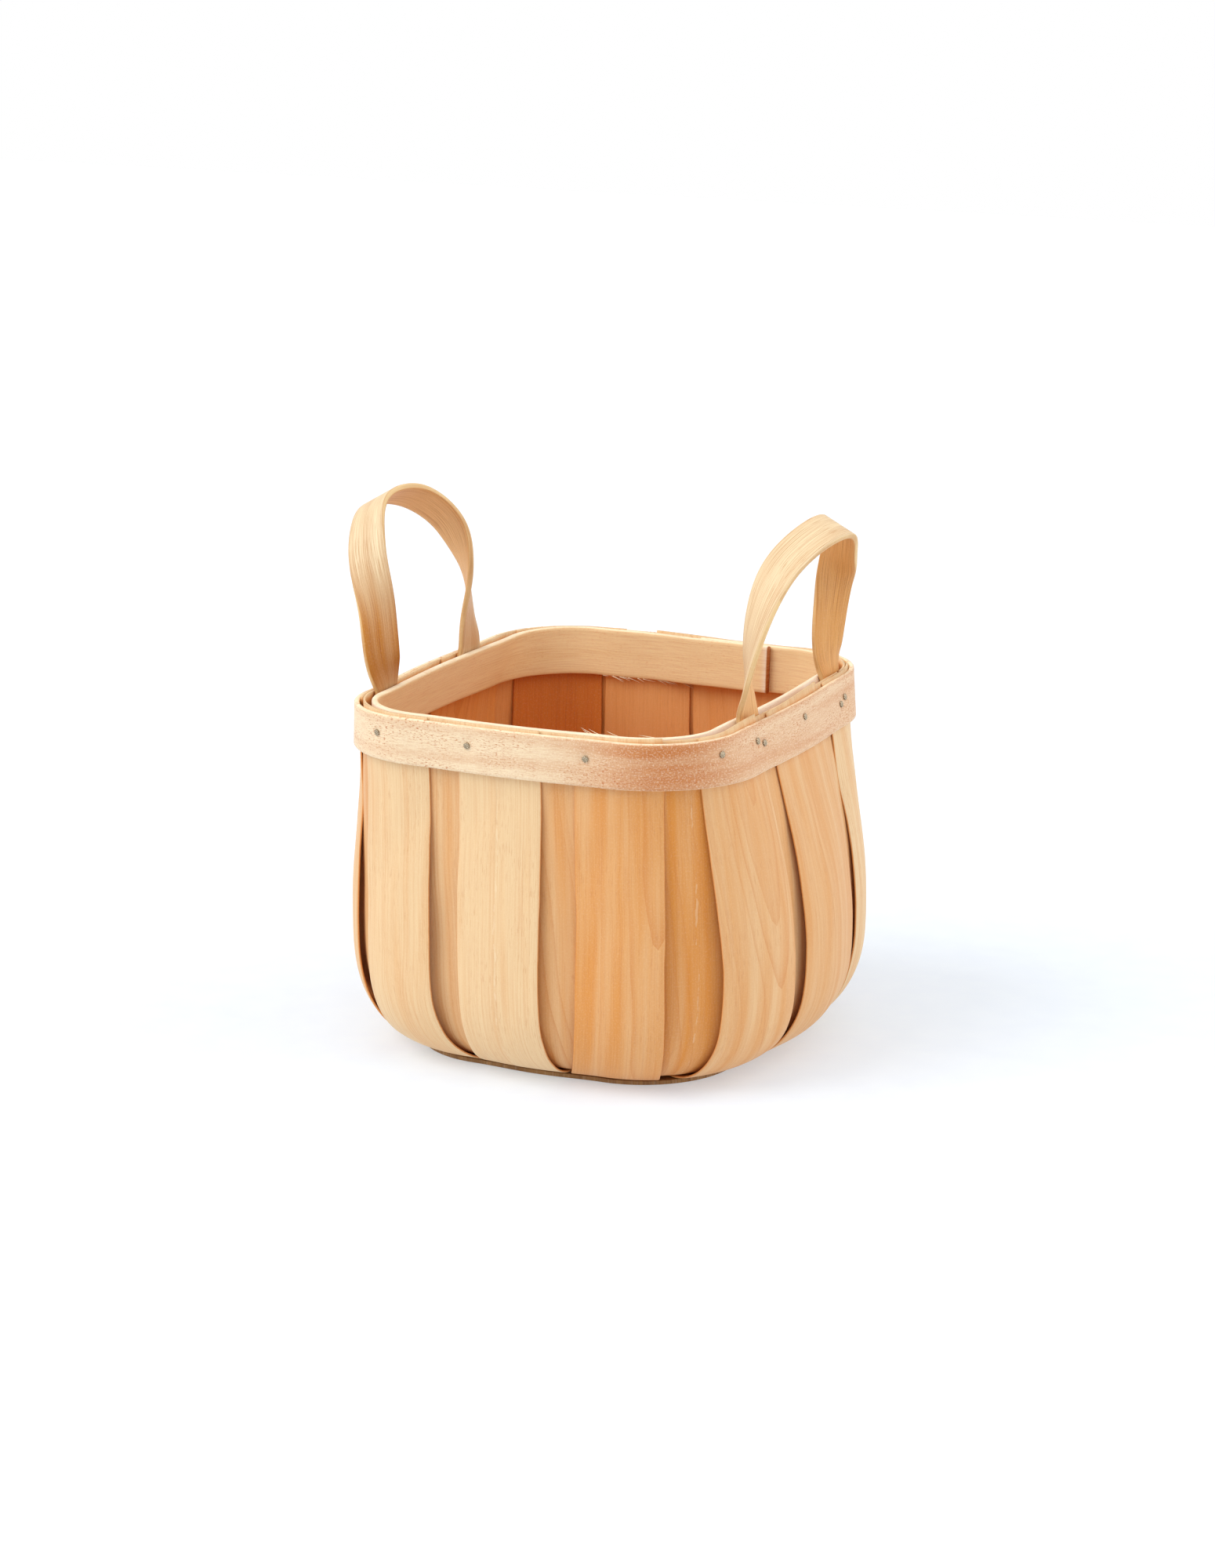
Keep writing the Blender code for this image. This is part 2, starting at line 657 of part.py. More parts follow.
def build():
    """The whole basket."""
    for old in list(bpy.data.objects):
        bpy.data.objects.remove(old)
    group = collection("berry_basket")
    cutters = collection("cutters")
    finishes = {}
    for name, colour in wood_colours.items():
        steel = name == "steel"
        finishes[name] = material(name, colour, float(steel), steel_roughness if steel else wood_roughness)
    pieces = make_splints(group, finishes)
    pieces += make_hoops(group, finishes)
    pieces += make_handles(group, finishes)
    pieces += make_boards(group, finishes)
    rim_nails, handle_nails, tacks = rim_nail_places(), handle_nail_places(), tack_places()
    add_nails("rim_nail", rim_nails, group, finishes["steel"])
    add_nails("handle_nail", handle_nails, group, finishes["steel"])
    add_nails("base_tack", tacks, group, finishes["steel"])
    pierce(pieces, add_holes(rim_nails + handle_nails + tacks, cutters))


build()
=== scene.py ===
# %% [markdown]
# A berry basket, seen up close. It is made like the ones sold with fruit in them: thin strips of sliced
# wood stand side by side, two bent hoops clamp their tops, two bent strips are the handles, and small nails
# hold the rim. The frame that is loaded first holds the basket's solids; this lesson dresses them.

# %% Load the frame
import math

import bpy
import numpy as np
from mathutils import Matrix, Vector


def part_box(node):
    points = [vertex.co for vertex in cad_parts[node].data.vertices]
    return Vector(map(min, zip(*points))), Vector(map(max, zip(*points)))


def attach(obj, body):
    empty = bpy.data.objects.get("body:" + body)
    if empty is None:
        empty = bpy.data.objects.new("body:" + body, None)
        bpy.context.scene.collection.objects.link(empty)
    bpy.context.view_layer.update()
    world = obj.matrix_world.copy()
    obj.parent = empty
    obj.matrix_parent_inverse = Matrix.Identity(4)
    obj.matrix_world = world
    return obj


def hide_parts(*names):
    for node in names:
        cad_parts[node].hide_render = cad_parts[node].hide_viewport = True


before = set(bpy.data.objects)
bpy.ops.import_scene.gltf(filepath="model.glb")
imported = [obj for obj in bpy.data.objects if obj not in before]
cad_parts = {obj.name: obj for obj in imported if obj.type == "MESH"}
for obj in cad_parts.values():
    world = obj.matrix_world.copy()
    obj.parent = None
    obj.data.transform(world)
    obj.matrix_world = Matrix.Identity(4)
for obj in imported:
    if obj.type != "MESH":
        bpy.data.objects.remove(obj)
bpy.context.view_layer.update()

# %% [markdown]
# A photograph fixes one viewpoint. The camera stands in front and a little to the right, about two metres
# away, and looks slightly down. A long lens keeps the upright strips upright. The lens shift puts the
# basket below the frame's middle without tilting the camera, just as a view camera does.

# %% Camera
def put(name, data):
    """A new object that shows the given data, linked to the scene."""
    made = bpy.data.objects.new(name, data)
    bpy.context.scene.collection.objects.link(made)
    return made


target = np.array([0.0, 0.0, 0.060])
photo_width, photo_height = 1550, 2000
# In pixels of the photograph: the focal length, and where the target lies from its top left corner
focal_length, target_across, target_down = 5353.8, 776, 1152.3
azimuth, elevation, distance = math.radians(25.51), math.radians(16.22), 1.9409
towards_camera = np.array([math.sin(azimuth) * math.cos(elevation),
                           -math.cos(azimuth) * math.cos(elevation), math.sin(elevation)])
camera_data = bpy.data.cameras.new("photo_camera")
camera_data.sensor_width = 36.0
camera_data.lens = focal_length / photo_height * camera_data.sensor_width
camera_data.shift_x = (photo_width / 2 - target_across) / photo_height
camera_data.shift_y = (target_down - photo_height / 2) / photo_height
camera = put("photo_camera", camera_data)
camera.location = target + towards_camera * distance
camera.rotation_euler = (math.pi / 2 - elevation, 0, azimuth)
bpy.context.scene.camera = camera
print("lens", round(camera_data.lens, 2), "mm, camera at", [round(v, 3) for v in camera.location])

# %% [markdown]
# Every strip of the basket follows the same plan: a rectangle with round corners and slightly bowed sides.
# It could be drawn as a curve for each height. A formula is better here, because the strips need the plan
# at thousands of heights and places at once.
# A share says how far round a place is, from 0 at the middle of the right side, anticlockwise.

# %% The plan of the wall
def outline(share, sizes):
    """Points in plan at shares of the way round.

    Sizes hold half lengths in X and Y, corner radius, shift in X and bow, in the last axis. A quarter of
    the way round is a straight run, a quarter circle and a straight run. Odd quarters are walked
    backwards and mirrored. The bow adds (1 - u squared) squared, u being the place along the side.
    """
    half_x, half_y, radius, shift, bow = np.moveaxis(np.asarray(sizes, float), -1, 0)
    flat_x, flat_y, arc = half_x - radius, half_y - radius, radius * math.pi / 2
    walked = np.mod(share, 1) * 4
    quarter = np.floor(walked)
    part = walked - quarter
    run = np.where(quarter % 2 == 1, 1 - part, part) * (flat_x + arc + flat_y)
    angle = np.clip((run - flat_y) / radius, 0, math.pi / 2)
    up = np.minimum(run, flat_y)
    left = flat_x - np.maximum(run - flat_y - arc, 0)
    side_bow = bow * (1 - (up / flat_y) ** 2) ** 2
    end_bow = bow * (1 - (left / flat_x) ** 2) ** 2
    x = left + (radius + side_bow) * np.cos(angle)
    y = up + (radius + end_bow) * np.sin(angle)
    x = np.where((quarter == 1) | (quarter == 2), -x, x) + shift
    y = np.where(quarter >= 2, -y, y)
    return np.stack(np.broadcast_arrays(x, y), -1)


def way_round(sizes):
    """Length of an outline without its bow: four times a straight run, a quarter circle and another run."""
    half_x, half_y, radius = np.moveaxis(np.asarray(sizes, float), -1, 0)[:3]
    return 4 * (half_x + half_y - 2 * radius) + 2 * math.pi * radius


def moved_in(sizes, by_x, by_y=None):
    """Sizes of an outline moved inwards: each half length less its distance, the radius less their mean."""
    by_y = by_x if by_y is None else by_y
    zero = np.zeros_like(np.asarray(by_x, float))
    return np.asarray(sizes) - np.stack([by_x + zero, by_y + zero, (by_x + by_y) / 2 + zero, zero, zero], -1)


rim_height, hoop_height = 0.1652, 0.0215
hoop_foot = rim_height - hoop_height
rim_top = np.array([0.0918, 0.1027, 0.0400, 0, 0.0021])
rim_foot = np.array([0.0971, 0.1014, 0.0500, 0, 0.0021])
belly_height = 0.0600
belly = np.array([0.1083, 0.1012, 0.0680, 0.0014, 0.0048])
board = np.array([0.0760, 0.0740, 0.0440, 0, 0.0021])


def rim(height, by_x, by_y=None):
    """Outline of the rim at heights: a straight blend from its top to its foot, moved inwards."""
    share = (rim_height - np.asarray(height, float)) / hoop_height
    return moved_in(rim_top + (rim_foot - rim_top) * share[..., None], by_x, by_y)


print("way round the rim:", round(float(way_round(rim_top)) * 1000, 1), "mm")

# %% [markdown]
# The layers of the rim, from outside to inside: outer hoop, outer strips, inner strips, the handles' legs
# and the inner hoop. Each is a fraction of a millimetre from the next, as nailed wood is.

# %% Thicknesses and layers
hoop_wall, inner_hoop_wall, splint_wall = 0.0024, 0.0028, 0.0009
handle_wall, board_wall, gap, leg_gap = 0.0026, 0.0020, 0.0004, 0.0004
# How far the outer strips' belly stands off the inner strips', and how far inside the board's edge a
# strip's bend ends
stand_off, foot_in = 0.004, 0.004
outer_in = hoop_wall + gap
inner_in = outer_in + splint_wall + gap
hoop_in_y = inner_in + splint_wall + gap
leg_in = hoop_in_y + leg_gap + handle_wall
hoop_in_x = leg_in + gap + leg_gap / 2
outer_foot = board_wall + gap
inner_foot = outer_foot + splint_wall + gap
upper_board = inner_foot + splint_wall + gap

print("rim stack on the handle sides:", round((hoop_in_x + inner_hoop_wall) * 1000, 1), "mm")

# %% [markdown]
# A wood strip could be a flat plane with Solidify and Bevel. Here its section is carried along the strip
# instead: the face, a rounded edge, the back and the other edge make one closed ring at each station. That
# gives the edges their own points, so they can be worn, torn and coloured apart from the face. Each
# strip also carries its own grain: how far across, how far along, and how far each point lay from the
# middle of the log. Sliced veneer shows where the blade met the growth rings: nested arches where it
# passed near the log's core and straight lines further out, and that distance alone draws both.

# %% The strip builder
def smooth(t):
    """The ease 3t squared minus 2t cubed, held between 0 and 1."""
    t = np.clip(t, 0, 1)
    return t * t * (3 - 2 * t)


def wobble(seed, t, waves=5):
    """A gentle random line: sines of 1, 2, 3 and more turns per unit, each lower the faster it is."""
    source = np.random.default_rng(seed)
    pace = np.arange(1, waves + 1)
    phase, height = source.uniform(0, 2 * math.pi, waves), source.uniform(0.5, 1, waves) / pace
    return np.sum(height * np.sin(2 * math.pi * pace * np.asarray(t, float)[..., None] + phase), -1)


def lengths_along(points, axis):
    """Distance walked along one axis of a grid of points: the running sum of the steps."""
    step = np.linalg.norm(np.diff(points, axis=axis), axis=-1)
    first = np.zeros_like(np.take(step, [0], axis=axis))
    return np.cumsum(np.concatenate([first, step], axis), axis)


def unit(vectors):
    """Vectors of length 1."""
    return vectors / np.linalg.norm(vectors, axis=-1, keepdims=True)


def face_normals(face):
    """Unit normals of a grid of points: the cross product of its two directions of travel."""
    return unit(np.cross(np.gradient(face, axis=0), np.gradient(face, axis=1)))


def log_distance(across, along, seed, core, slant, depth, tilt):
    """Distance to the log's core: the root of the place across squared plus the depth squared.

    Along the strip the core moves sideways by the slant and down by the tilt, which draws the arches.
    """
    sideways = across - core - slant * along - 0.0010 * wobble(seed, along / 0.20, 3)
    below = depth + tilt * along + 0.0006 * wobble(seed + 50, along / 0.15, 3)
    return np.sqrt(sideways ** 2 + below ** 2)


def tear_distance(across, along, lines):
    """Distance to the nearest torn line. Each line is its place across, its start, its end and its lean."""
    nearest = np.full(across.shape, 1.0)
    for k, (place, start, end, lean) in enumerate(lines):
        away = across - place - lean * (along - start) - 0.0006 * wobble(900 + k, along / 0.05, 7)
        beyond = np.maximum(np.maximum(start - along, along - end), 0)
        signed = np.where(away < 0, -1, 1) * np.hypot(away, beyond)
        nearest = np.where(np.abs(signed) < np.abs(nearest), signed, nearest)
    return nearest


def put_mesh(name, points, faces, values):
    """A mesh object at the origin from arrays, with its point values stored as attributes."""
    mesh = bpy.data.meshes.new(name)
    mesh.from_pydata(points.reshape(-1, 3).tolist(), [], faces)
    for key, value in values.items():
        layer = mesh.attributes.new(key, "FLOAT_VECTOR" if value.ndim > 1 else "FLOAT", "POINT")
        layer.data.foreach_set("vector" if value.ndim > 1 else "value", value.astype(np.float32).ravel())
    mesh.shade_smooth()
    return put(name, mesh)


def wood_values(grain, edge, tear=1.0, back=0.0, tone=0.5):
    """What a finish of wood reads: the grain of each point, and the rest as arrays or as one number."""
    rest = {"edge": edge, "tear": tear, "back": back, "tone": tone}
    return {"grain": grain, **{key: np.broadcast_to(value, len(grain)) for key, value in rest.items()}}


def strip(name, face, thickness, figure, tone, lines=()):
    """A closed strip from its outer face, a grid of stations along it by places across it.

    The last column on each side is the outermost line of the rounded edge. Four points round that edge
    lie at depth (1 - cos a) / 2 of the thickness and sin a of the way out to it. The figure is the
    strip's place in its log, and the tone has one value per station.
    """
    normal = face_normals(face)
    across, along = lengths_along(face, 1), lengths_along(face, 0)
    along = along[:, face.shape[1] // 2][:, None] + 0 * across
    across = across - across[:, -1:] / 2
    columns = face.shape[1] - 2
    angle = np.radians([36, 72, 108, 144])
    flat, reach, sunk = np.arange(1, columns + 1), np.sin(angle), (1 - np.cos(angle)) / 2
    inner = np.concatenate([flat, [columns] * 4, flat[::-1], [1] * 4])
    outer = np.concatenate([flat, [columns + 1] * 4, flat[::-1], [0] * 4])
    out = np.concatenate([0 * flat, reach, 0 * flat, reach])
    down = np.concatenate([0 * flat, sunk, 0 * flat + 1, sunk[::-1]])

    def mix(grid):
        """Values round the ring: the inner column's, blended to the outer one's by how far out it is."""
        share = out.reshape(-1, *[1] * (grid.ndim - 2))
        return grid[:, inner] * (1 - share) + grid[:, outer] * share

    points = mix(face) - normal[:, inner] * (thickness * down)[:, None]
    rows, around = points.shape[:2]
    at = np.arange(rows * around).reshape(rows, around)
    turned = np.roll(at, -1, 1)
    side = np.stack([at[:-1], at[1:], turned[1:], turned[:-1]], -1).reshape(-1, 4)
    faces = side.tolist() + [at[0].tolist(), at[-1][::-1].tolist()]
    seed = figure[0]
    log = log_distance(across, along, *figure)
    tear = tear_distance(across, along, lines)
    # The first few millimetres keep the face's colour on the edge and the back too
    edge = out * smooth(mix(along) / 0.003)
    back = down * smooth(mix(along) / 0.004)
    # Shifting the grain by the seed gives each strip its own part of the noise
    grain = np.stack([mix(across) + 0.31 * seed, mix(along) + 0.77 * seed, mix(log)], -1)
    values = wood_values(grain.reshape(-1, 3), edge.ravel(), mix(tear).ravel(), back.ravel(),
                         np.repeat(tone, around))
    return put_mesh(name, points, faces, values)


def across_places(count, lip):
    """Places from -1 to 1 across a strip, even but for a narrow lip at each end."""
    return np.concatenate([[-1], np.linspace(-1 + lip, 1 - lip, count), [1]])


print("a point 20 mm aside of a core 30 mm deep is on the ring of", round(math.hypot(20, 30), 1), "mm")

# %% [markdown]
# The wall's side view: inside the hoop it follows the rim's slope, then it swells to the belly, and below
# the belly it bends in under the basket, where its tail is clamped between the boards.

# %% The wall's side view
def wall(rim_in, belly_in, foot_height, foot_sizes):
    """Heights and outlines down the wall's face, as two arrays.

    Between the hoop and the belly the sizes follow the ease 3t2 - 2t3, plus the hoop's slope times
    t(1 - t) squared. Below it a quarter turn gives the height by the power 0.66 of its sine and the
    reach by the power 1.10 of its cosine. A level tail 11 mm long ends the strip.
    """
    upper = np.linspace(rim_height + 0.0006, hoop_foot, 8)
    start, top = rim(hoop_foot, rim_in), rim(rim_height, rim_in)
    middle, foot = moved_in(belly, belly_in), np.asarray(foot_sizes)
    t = np.linspace(0, 1, 65)[1:, None]
    drop = hoop_foot - belly_height
    swell = start + (middle - start) * smooth(t) + (start - top) * drop / hoop_height * t * (1 - t) ** 2
    angle = np.linspace(0, math.pi / 2, 65)[1:, None]
    sink = belly_height - (belly_height - foot_height) * np.sin(angle[:, 0]) ** 0.66
    bend = foot + (middle - foot) * np.maximum(np.cos(angle), 0) ** 1.10
    run = np.linspace(0, 0.011, 5)[1:]
    heights = np.concatenate([upper, hoop_foot - drop * t[:, 0], sink, np.full(len(run), foot_height)])
    return heights, np.concatenate([rim(upper, rim_in), swell, bend, moved_in(foot, run)])


outer_wall = wall(outer_in, 0, outer_foot, moved_in(board, foot_in))
inner_wall = wall(inner_in, splint_wall + stand_off, inner_foot, moved_in(board, foot_in + splint_wall + gap))
print("stations down the wall:", len(outer_wall[0]))

# %% [markdown]
# Twelve outer strips hide the seams of twelve inner ones. Cut by hand, no two are alike: each gets its own
# warp and wavering edges, and its own place in the log. Torn lines, where the blade lifted the grain, are
# given only to the strips that show them.

# %% The upright strips
def splint_face(profile, low, high, centre, width, drift, seed, cup=0.0, top=(0, 0)):
    """The outer face of an upright strip, as stations down it by places across it.

    Its two edges waver a little and stay half a millimetre or more inside low and high. Between the
    hoop and the boards the face is lifted by a small random warp, and by a cup that raises its edges
    with the square of the place across. The top's two corners stand higher than cut by the given
    lengths.
    """
    heights, sizes = profile
    length = way_round(sizes)
    down = np.linspace(0, 1, len(heights))
    middle = centre + drift * np.interp(heights, (belly_height, hoop_foot), (1, 0))
    margin, trim, waver, chip = 0.0005, 0.0003, 0.00022, 0.00006
    cuts = [(trim + waver * wobble(seed + k, down, 11) + chip * wobble(seed + k, down, 70) ** 2) / length
            for k in (1, 2)]
    left = np.maximum(middle - width / 2 / length, low + margin / length) + cuts[0]
    right = np.minimum(middle + width / 2 / length, high - margin / length) - cuts[1]
    v = across_places(17, 0.02)[None, :]
    share = (left + right)[:, None] / 2 + (right - left)[:, None] / 2 * v
    flat = outline(share, sizes[:, None, :])
    higher = np.clip((heights - hoop_foot) / hoop_height, 0, 1)[:, None]
    higher = higher * (top[0] * (1 - v) + top[1] * (1 + v)) / 2
    points = np.concatenate([flat, (heights[:, None] + higher)[..., None]], -1)
    warp, ease, held_below = 0.00035, 0.03, 0.006
    free = (smooth((hoop_foot - heights) / ease) * smooth((heights - held_below) / ease))[:, None]
    lift = warp * wobble(seed + 3, down[:, None] * 1.3 + 0.2 * v, 4) + cup * v ** 2
    return points + face_normals(points) * (free * lift)[..., None]


def upright_strips(layer, profile, looks, places, lines, seed, figure, tops, cups):
    """One layer of upright strips, each in the place of the solid of its number.

    The first strip's seed sets its warp, and its figure which part of the noise it shows.
    """
    made = []
    for k, ((tone, *log), place) in enumerate(zip(looks, places)):
        face = splint_face(profile, *place, seed + 10 * k, cups.get(k, 0.0), tops.get(k, (0, 0)))
        made.append(strip(f"strip_{layer}_{k + 1:02d}", face, splint_wall, (figure + k, *log),
                          tone * paler_top, lines.get(k, ())))
        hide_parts(f"splint_{layer}_{k + 1:02d}")
    return made


outer_centres = np.array([.0011, .0850, .1690, .2530, .3345, .4080, .4985, .5805, .6619, .7424, .8245, .9111])
outer_drifts = np.array([.0020, 0, 0, 0, 0, 0, 0, 0, .0020, -.0010, -.0035, .0075])
outer_widths = 0.0415 * np.array([1.35, 1, 1, 1, 1, 1, 1, 1, 1, 1, 1, 1.12])
inner_seams = np.array([.0011, .0915, .1720, .2545, .3215, .3895, .5035, .5865, .6619, .7424, .8245, .9140])

# Each strip's tone from pale 0 to dark 1 and beyond, then its place in the log: the core's offset,
# slant, depth and tilt
outer_looks = [(.50, -.05, .02, .01, 0), (.10, .06, .0, .02, 0), (.45, .004, .02, .008, .05),
               (.20, .055, .01, .01, 0), (.50, -.002, .0, .006, .06), (.30, .06, -.02, .01, 0),
               (.40, -.055, .0, .01, 0), (.25, .003, .0, .009, .05), (.06, .08, -.02, .03, 0),
               (.02, -.075, .01, .03, 0), (.70, .02, -.03, .012, .04), (.50, .004, .06, .003, .1)]
# Inside the back wall the third and fourth inner strips have the palest tones and the fifth a tone of 1.38,
# past dark: painted light on the right and painted shade on the left, for the light falling in from the left
inner_looks = [(.40, .05, .0, .01, 0), (.30, -.05, .02, .01, 0), (.04, .005, .0, .012, .05),
               (.02, .06, .0, .01, 0), (1.38, -.05, .02, .01, 0), (.50, .004, .0, .01, .05),
               (.45, .06, .0, .01, 0), (.55, -.05, .0, .01, 0), (.40, .07, -.01, .02, 0),
               (.64, -.03, .12, .012, 0), (.86, -.03, .1, .01, 0), (.40, .06, .0, .01, 0)]
outer_tops = {k: (.0004 * math.sin(5 * k), .0004 * math.cos(7 * k)) for k in range(len(outer_looks))}
outer_tops |= {0: (.0, .0026), 2: (.0006, -.0002), 3: (-.0002, .0010), 10: (-.0002, .0013),
               11: (-.0002, .0022)}
outer_cups = {1: -.0022, 7: -.0016}
outer_lines = {9: [(-.0005, .045, .17, .0)]}
inner_lines = {10: [(.002, .03, .17, .0)]}
# The cut top, the first station, is always pale
paler_top = np.minimum(np.arange(len(outer_wall[0])), 1)

ahead = np.mod(np.roll(outer_centres, -1) - outer_centres, 1) / 2
outer_places = zip(outer_centres - np.roll(ahead, 1), outer_centres + ahead, outer_centres, outer_widths,
                   outer_drifts)
splints = upright_strips("outer", outer_wall, outer_looks, outer_places, outer_lines, 0, 1, outer_tops,
                         outer_cups)
# An inner strip is wider than its place, so its seams alone set where its edges lie
inner_width = 0.060
following = inner_seams + np.mod(np.roll(inner_seams, -1) - inner_seams, 1)
inner_places = [(low, high, (low + high) / 2, inner_width, 0) for low, high in zip(inner_seams, following)]
inner_splints = upright_strips("inner", inner_wall, inner_looks, inner_places, inner_lines, 500, 30, {}, {})
faces = len(splints[0].data.polygons)
print(len(splints), "outer and", len(inner_splints), "inner strips,", faces, "faces each")

# %% [markdown]
# The hoops clamp the strips' tops. The nails pull small dimples into the outer hoop, so the nails' places
# come first: a point on the hoop's face and the direction out of it.

# %% The nails' places
def hoop_spots(share, height):
    """Points on the outer hoop's face and unit directions out of it, from its slopes along and up."""
    point = lambda s, h: np.column_stack([outline(s, rim(h, 0)), h])
    share, height, step = np.asarray(share, float), np.asarray(height, float), 0.0005
    along = point(share + step, height) - point(share - step, height)
    up = point(share, height + step) - point(share, height - step)
    return point(share, height), unit(np.cross(along, up))


rim_nail_shares = [.0063, .1510, .2350, .3150, .3990, .4860, .5660, .6560, .7230, .8033, .8937]
rim_nail_drops = hoop_height * np.array([.34, .41, .41, .41, .41, .41, .41, .41, .41, .41, .34])
handle_width = 0.0178
leg_places = {"left": (-0.0126, 0.0433), "right": (0.0092, 0.0470)}
front_pair, back_pair = ((-.38, .36), (-.06, .45)), ((-.39, .53), (-.07, .43))
leg_nail_shares, leg_nail_drops = [], []
for side, (shift, half_spacing) in leg_places.items():
    for leg, pair in ((shift - half_spacing, front_pair), (shift + half_spacing, back_pair)):
        for width_share, drop_share in pair:
            drop = hoop_height * drop_share
            away = (leg + handle_width * width_share) / way_round(rim(rim_height - drop, 0))
            leg_nail_shares.append(away if side == "right" else 0.5 - away)
            leg_nail_drops.append(drop)
nail_heights = rim_height - np.append(rim_nail_drops, leg_nail_drops)
nail_spots, nail_out = hoop_spots(rim_nail_shares + leg_nail_shares, nail_heights)
print(len(nail_spots), "nails in the rim")

# %% [markdown]
# The outer hoop is a thick strip bent round the outside with its ends butted; the inner one laps over
# itself. Both keep the saw's fuzz on their edges, so their edges waver more finely than the strips' do.

# %% The hoops
def hoop_face(first, last, top, inset_x, inset_y, extra, seed):
    """A hoop's outer face, as stations along it by places up it.

    Extra gives how far each station lies further in. The edges waver, and the face rolls slightly.
    """
    fuzzy, sawn, rolled = 0.000125, 0.00006, 0.00012
    share = np.linspace(first, last, 700)[:, None]
    low = hoop_foot + fuzzy * wobble(seed, share, 60)
    high = top + sawn * wobble(seed + 1, share, 60)
    v = across_places(17, 0.055)[None, :]
    height = (low + high) / 2 + (high - low) / 2 * v
    flat = outline(share, rim(height, inset_x, inset_y))
    points = np.concatenate([flat, height[..., None]], -1)
    roll = rolled * wobble(seed + 2, share * 3, 6) * v
    return points + face_normals(points) * (roll - extra(share))[..., None]


def dimpled(face, depth, radius):
    """The face pushed in round each nail, by the depth times exp(-(distance / radius) squared)."""
    away = np.linalg.norm(face[:, :, None] - nail_spots, axis=-1)
    return face - face_normals(face) * (depth * np.exp(-(away / radius) ** 2).sum(-1))[..., None]


rim_round = float(way_round(rim(hoop_foot, 0)))
butt_at, butt_gap = 0.29, 0.0004
lap_at, lap_length, lap_ease = 0.19, 0.040, 0.030


def lapped(share):
    """How far in the inner hoop lies: its own thickness over the lap, easing to nothing after it."""
    past = ((share - lap_at) * rim_round - lap_length) / lap_ease
    return (inner_hoop_wall + gap) * (1 - smooth(past))


outer_face = hoop_face(butt_at, 1 + butt_at - butt_gap / rim_round, rim_height, 0, 0, lambda s: 0 * s, 700)
outer_round = np.linspace(butt_at, 1 + butt_at, len(outer_face))
corner = np.exp(-((outer_round - 0.850) / 0.045) ** 2)
outer_tones = 0.02 + 0.34 * smooth((outer_round - 0.70) / 0.2) + 0.56 * corner
outer_hoop = strip("hoop_outer", dimpled(outer_face, 0.0006, 0.0032), hoop_wall, (60, 0.05, 0.0, 0.02, 0.0),
                   outer_tones)
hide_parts("outer_rim_hoop")
inner_face = hoop_face(lap_at, 1 + lap_at + lap_length / rim_round, rim_height + 0.001, hoop_in_x, hoop_in_y,
                       lapped, 710)
inner_round = np.linspace(lap_at, 1 + lap_at, len(inner_face))
inner_tones = 0.02 + 0.42 * np.exp(-((inner_round - 0.395) / 0.05) ** 2)
# The lap's end is cut across the grain, which is darker, and it is darkened further as painted shade for the
# shadow in the step: only the first station is dark
inner_tones[0] = 1.5
inner_hoop = strip("hoop_inner", inner_face, inner_hoop_wall, (61, -0.06, 0.0, 0.02, 0.0), inner_tones)
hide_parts("inner_rim_hoop")
print("the outer hoop is", round(rim_round * 1000), "mm round at its foot")

# %% [markdown]
# Each handle is one strip bent hot and left to set. Its legs lie flat between the layers of the rim, and on
# the way up it turns over, so that the face that is inside at the rim is on top at the arch. The two were
# bent by hand, so each has its own table of places: out from the seats, along the side, up, and turned.

# %% The handles
def leg_grid(along, facing, deep, count):
    """Points at places along a handle's side on the rim moved in, from the leg's end to the hoop's top."""
    height = np.linspace(rim_height - 0.0195, rim_height + 0.001, count)[:, None] + 0 * along
    sizes = rim(height, deep)
    share = along / way_round(sizes)
    flat = outline(share if facing > 0 else 0.5 - share, sizes)
    return np.concatenate([flat, height[..., None]], -1)


def smooth_path(points, first_slope, last_slope, count):
    """Even stations on a smooth curve through points: a cubic between each two, with matching slopes."""
    walked = np.append(0, np.cumsum(np.linalg.norm(np.diff(points[:, :3], axis=0), axis=1)))
    slope = np.gradient(points, walked, axis=0)
    slope[0], slope[-1] = first_slope, last_slope
    at = np.linspace(0, walked[-1], count)
    k = np.clip(np.searchsorted(walked, at, side="right") - 1, 0, len(walked) - 2)
    step = (walked[k + 1] - walked[k])[:, None]
    t = (at - walked[k])[:, None] / step
    near = points[k] * (1 + 2 * t) + slope[k] * step * t
    far = points[k + 1] * (3 - 2 * t) - slope[k + 1] * step * (1 - t)
    return near * (1 - t) ** 2 + far * t * t


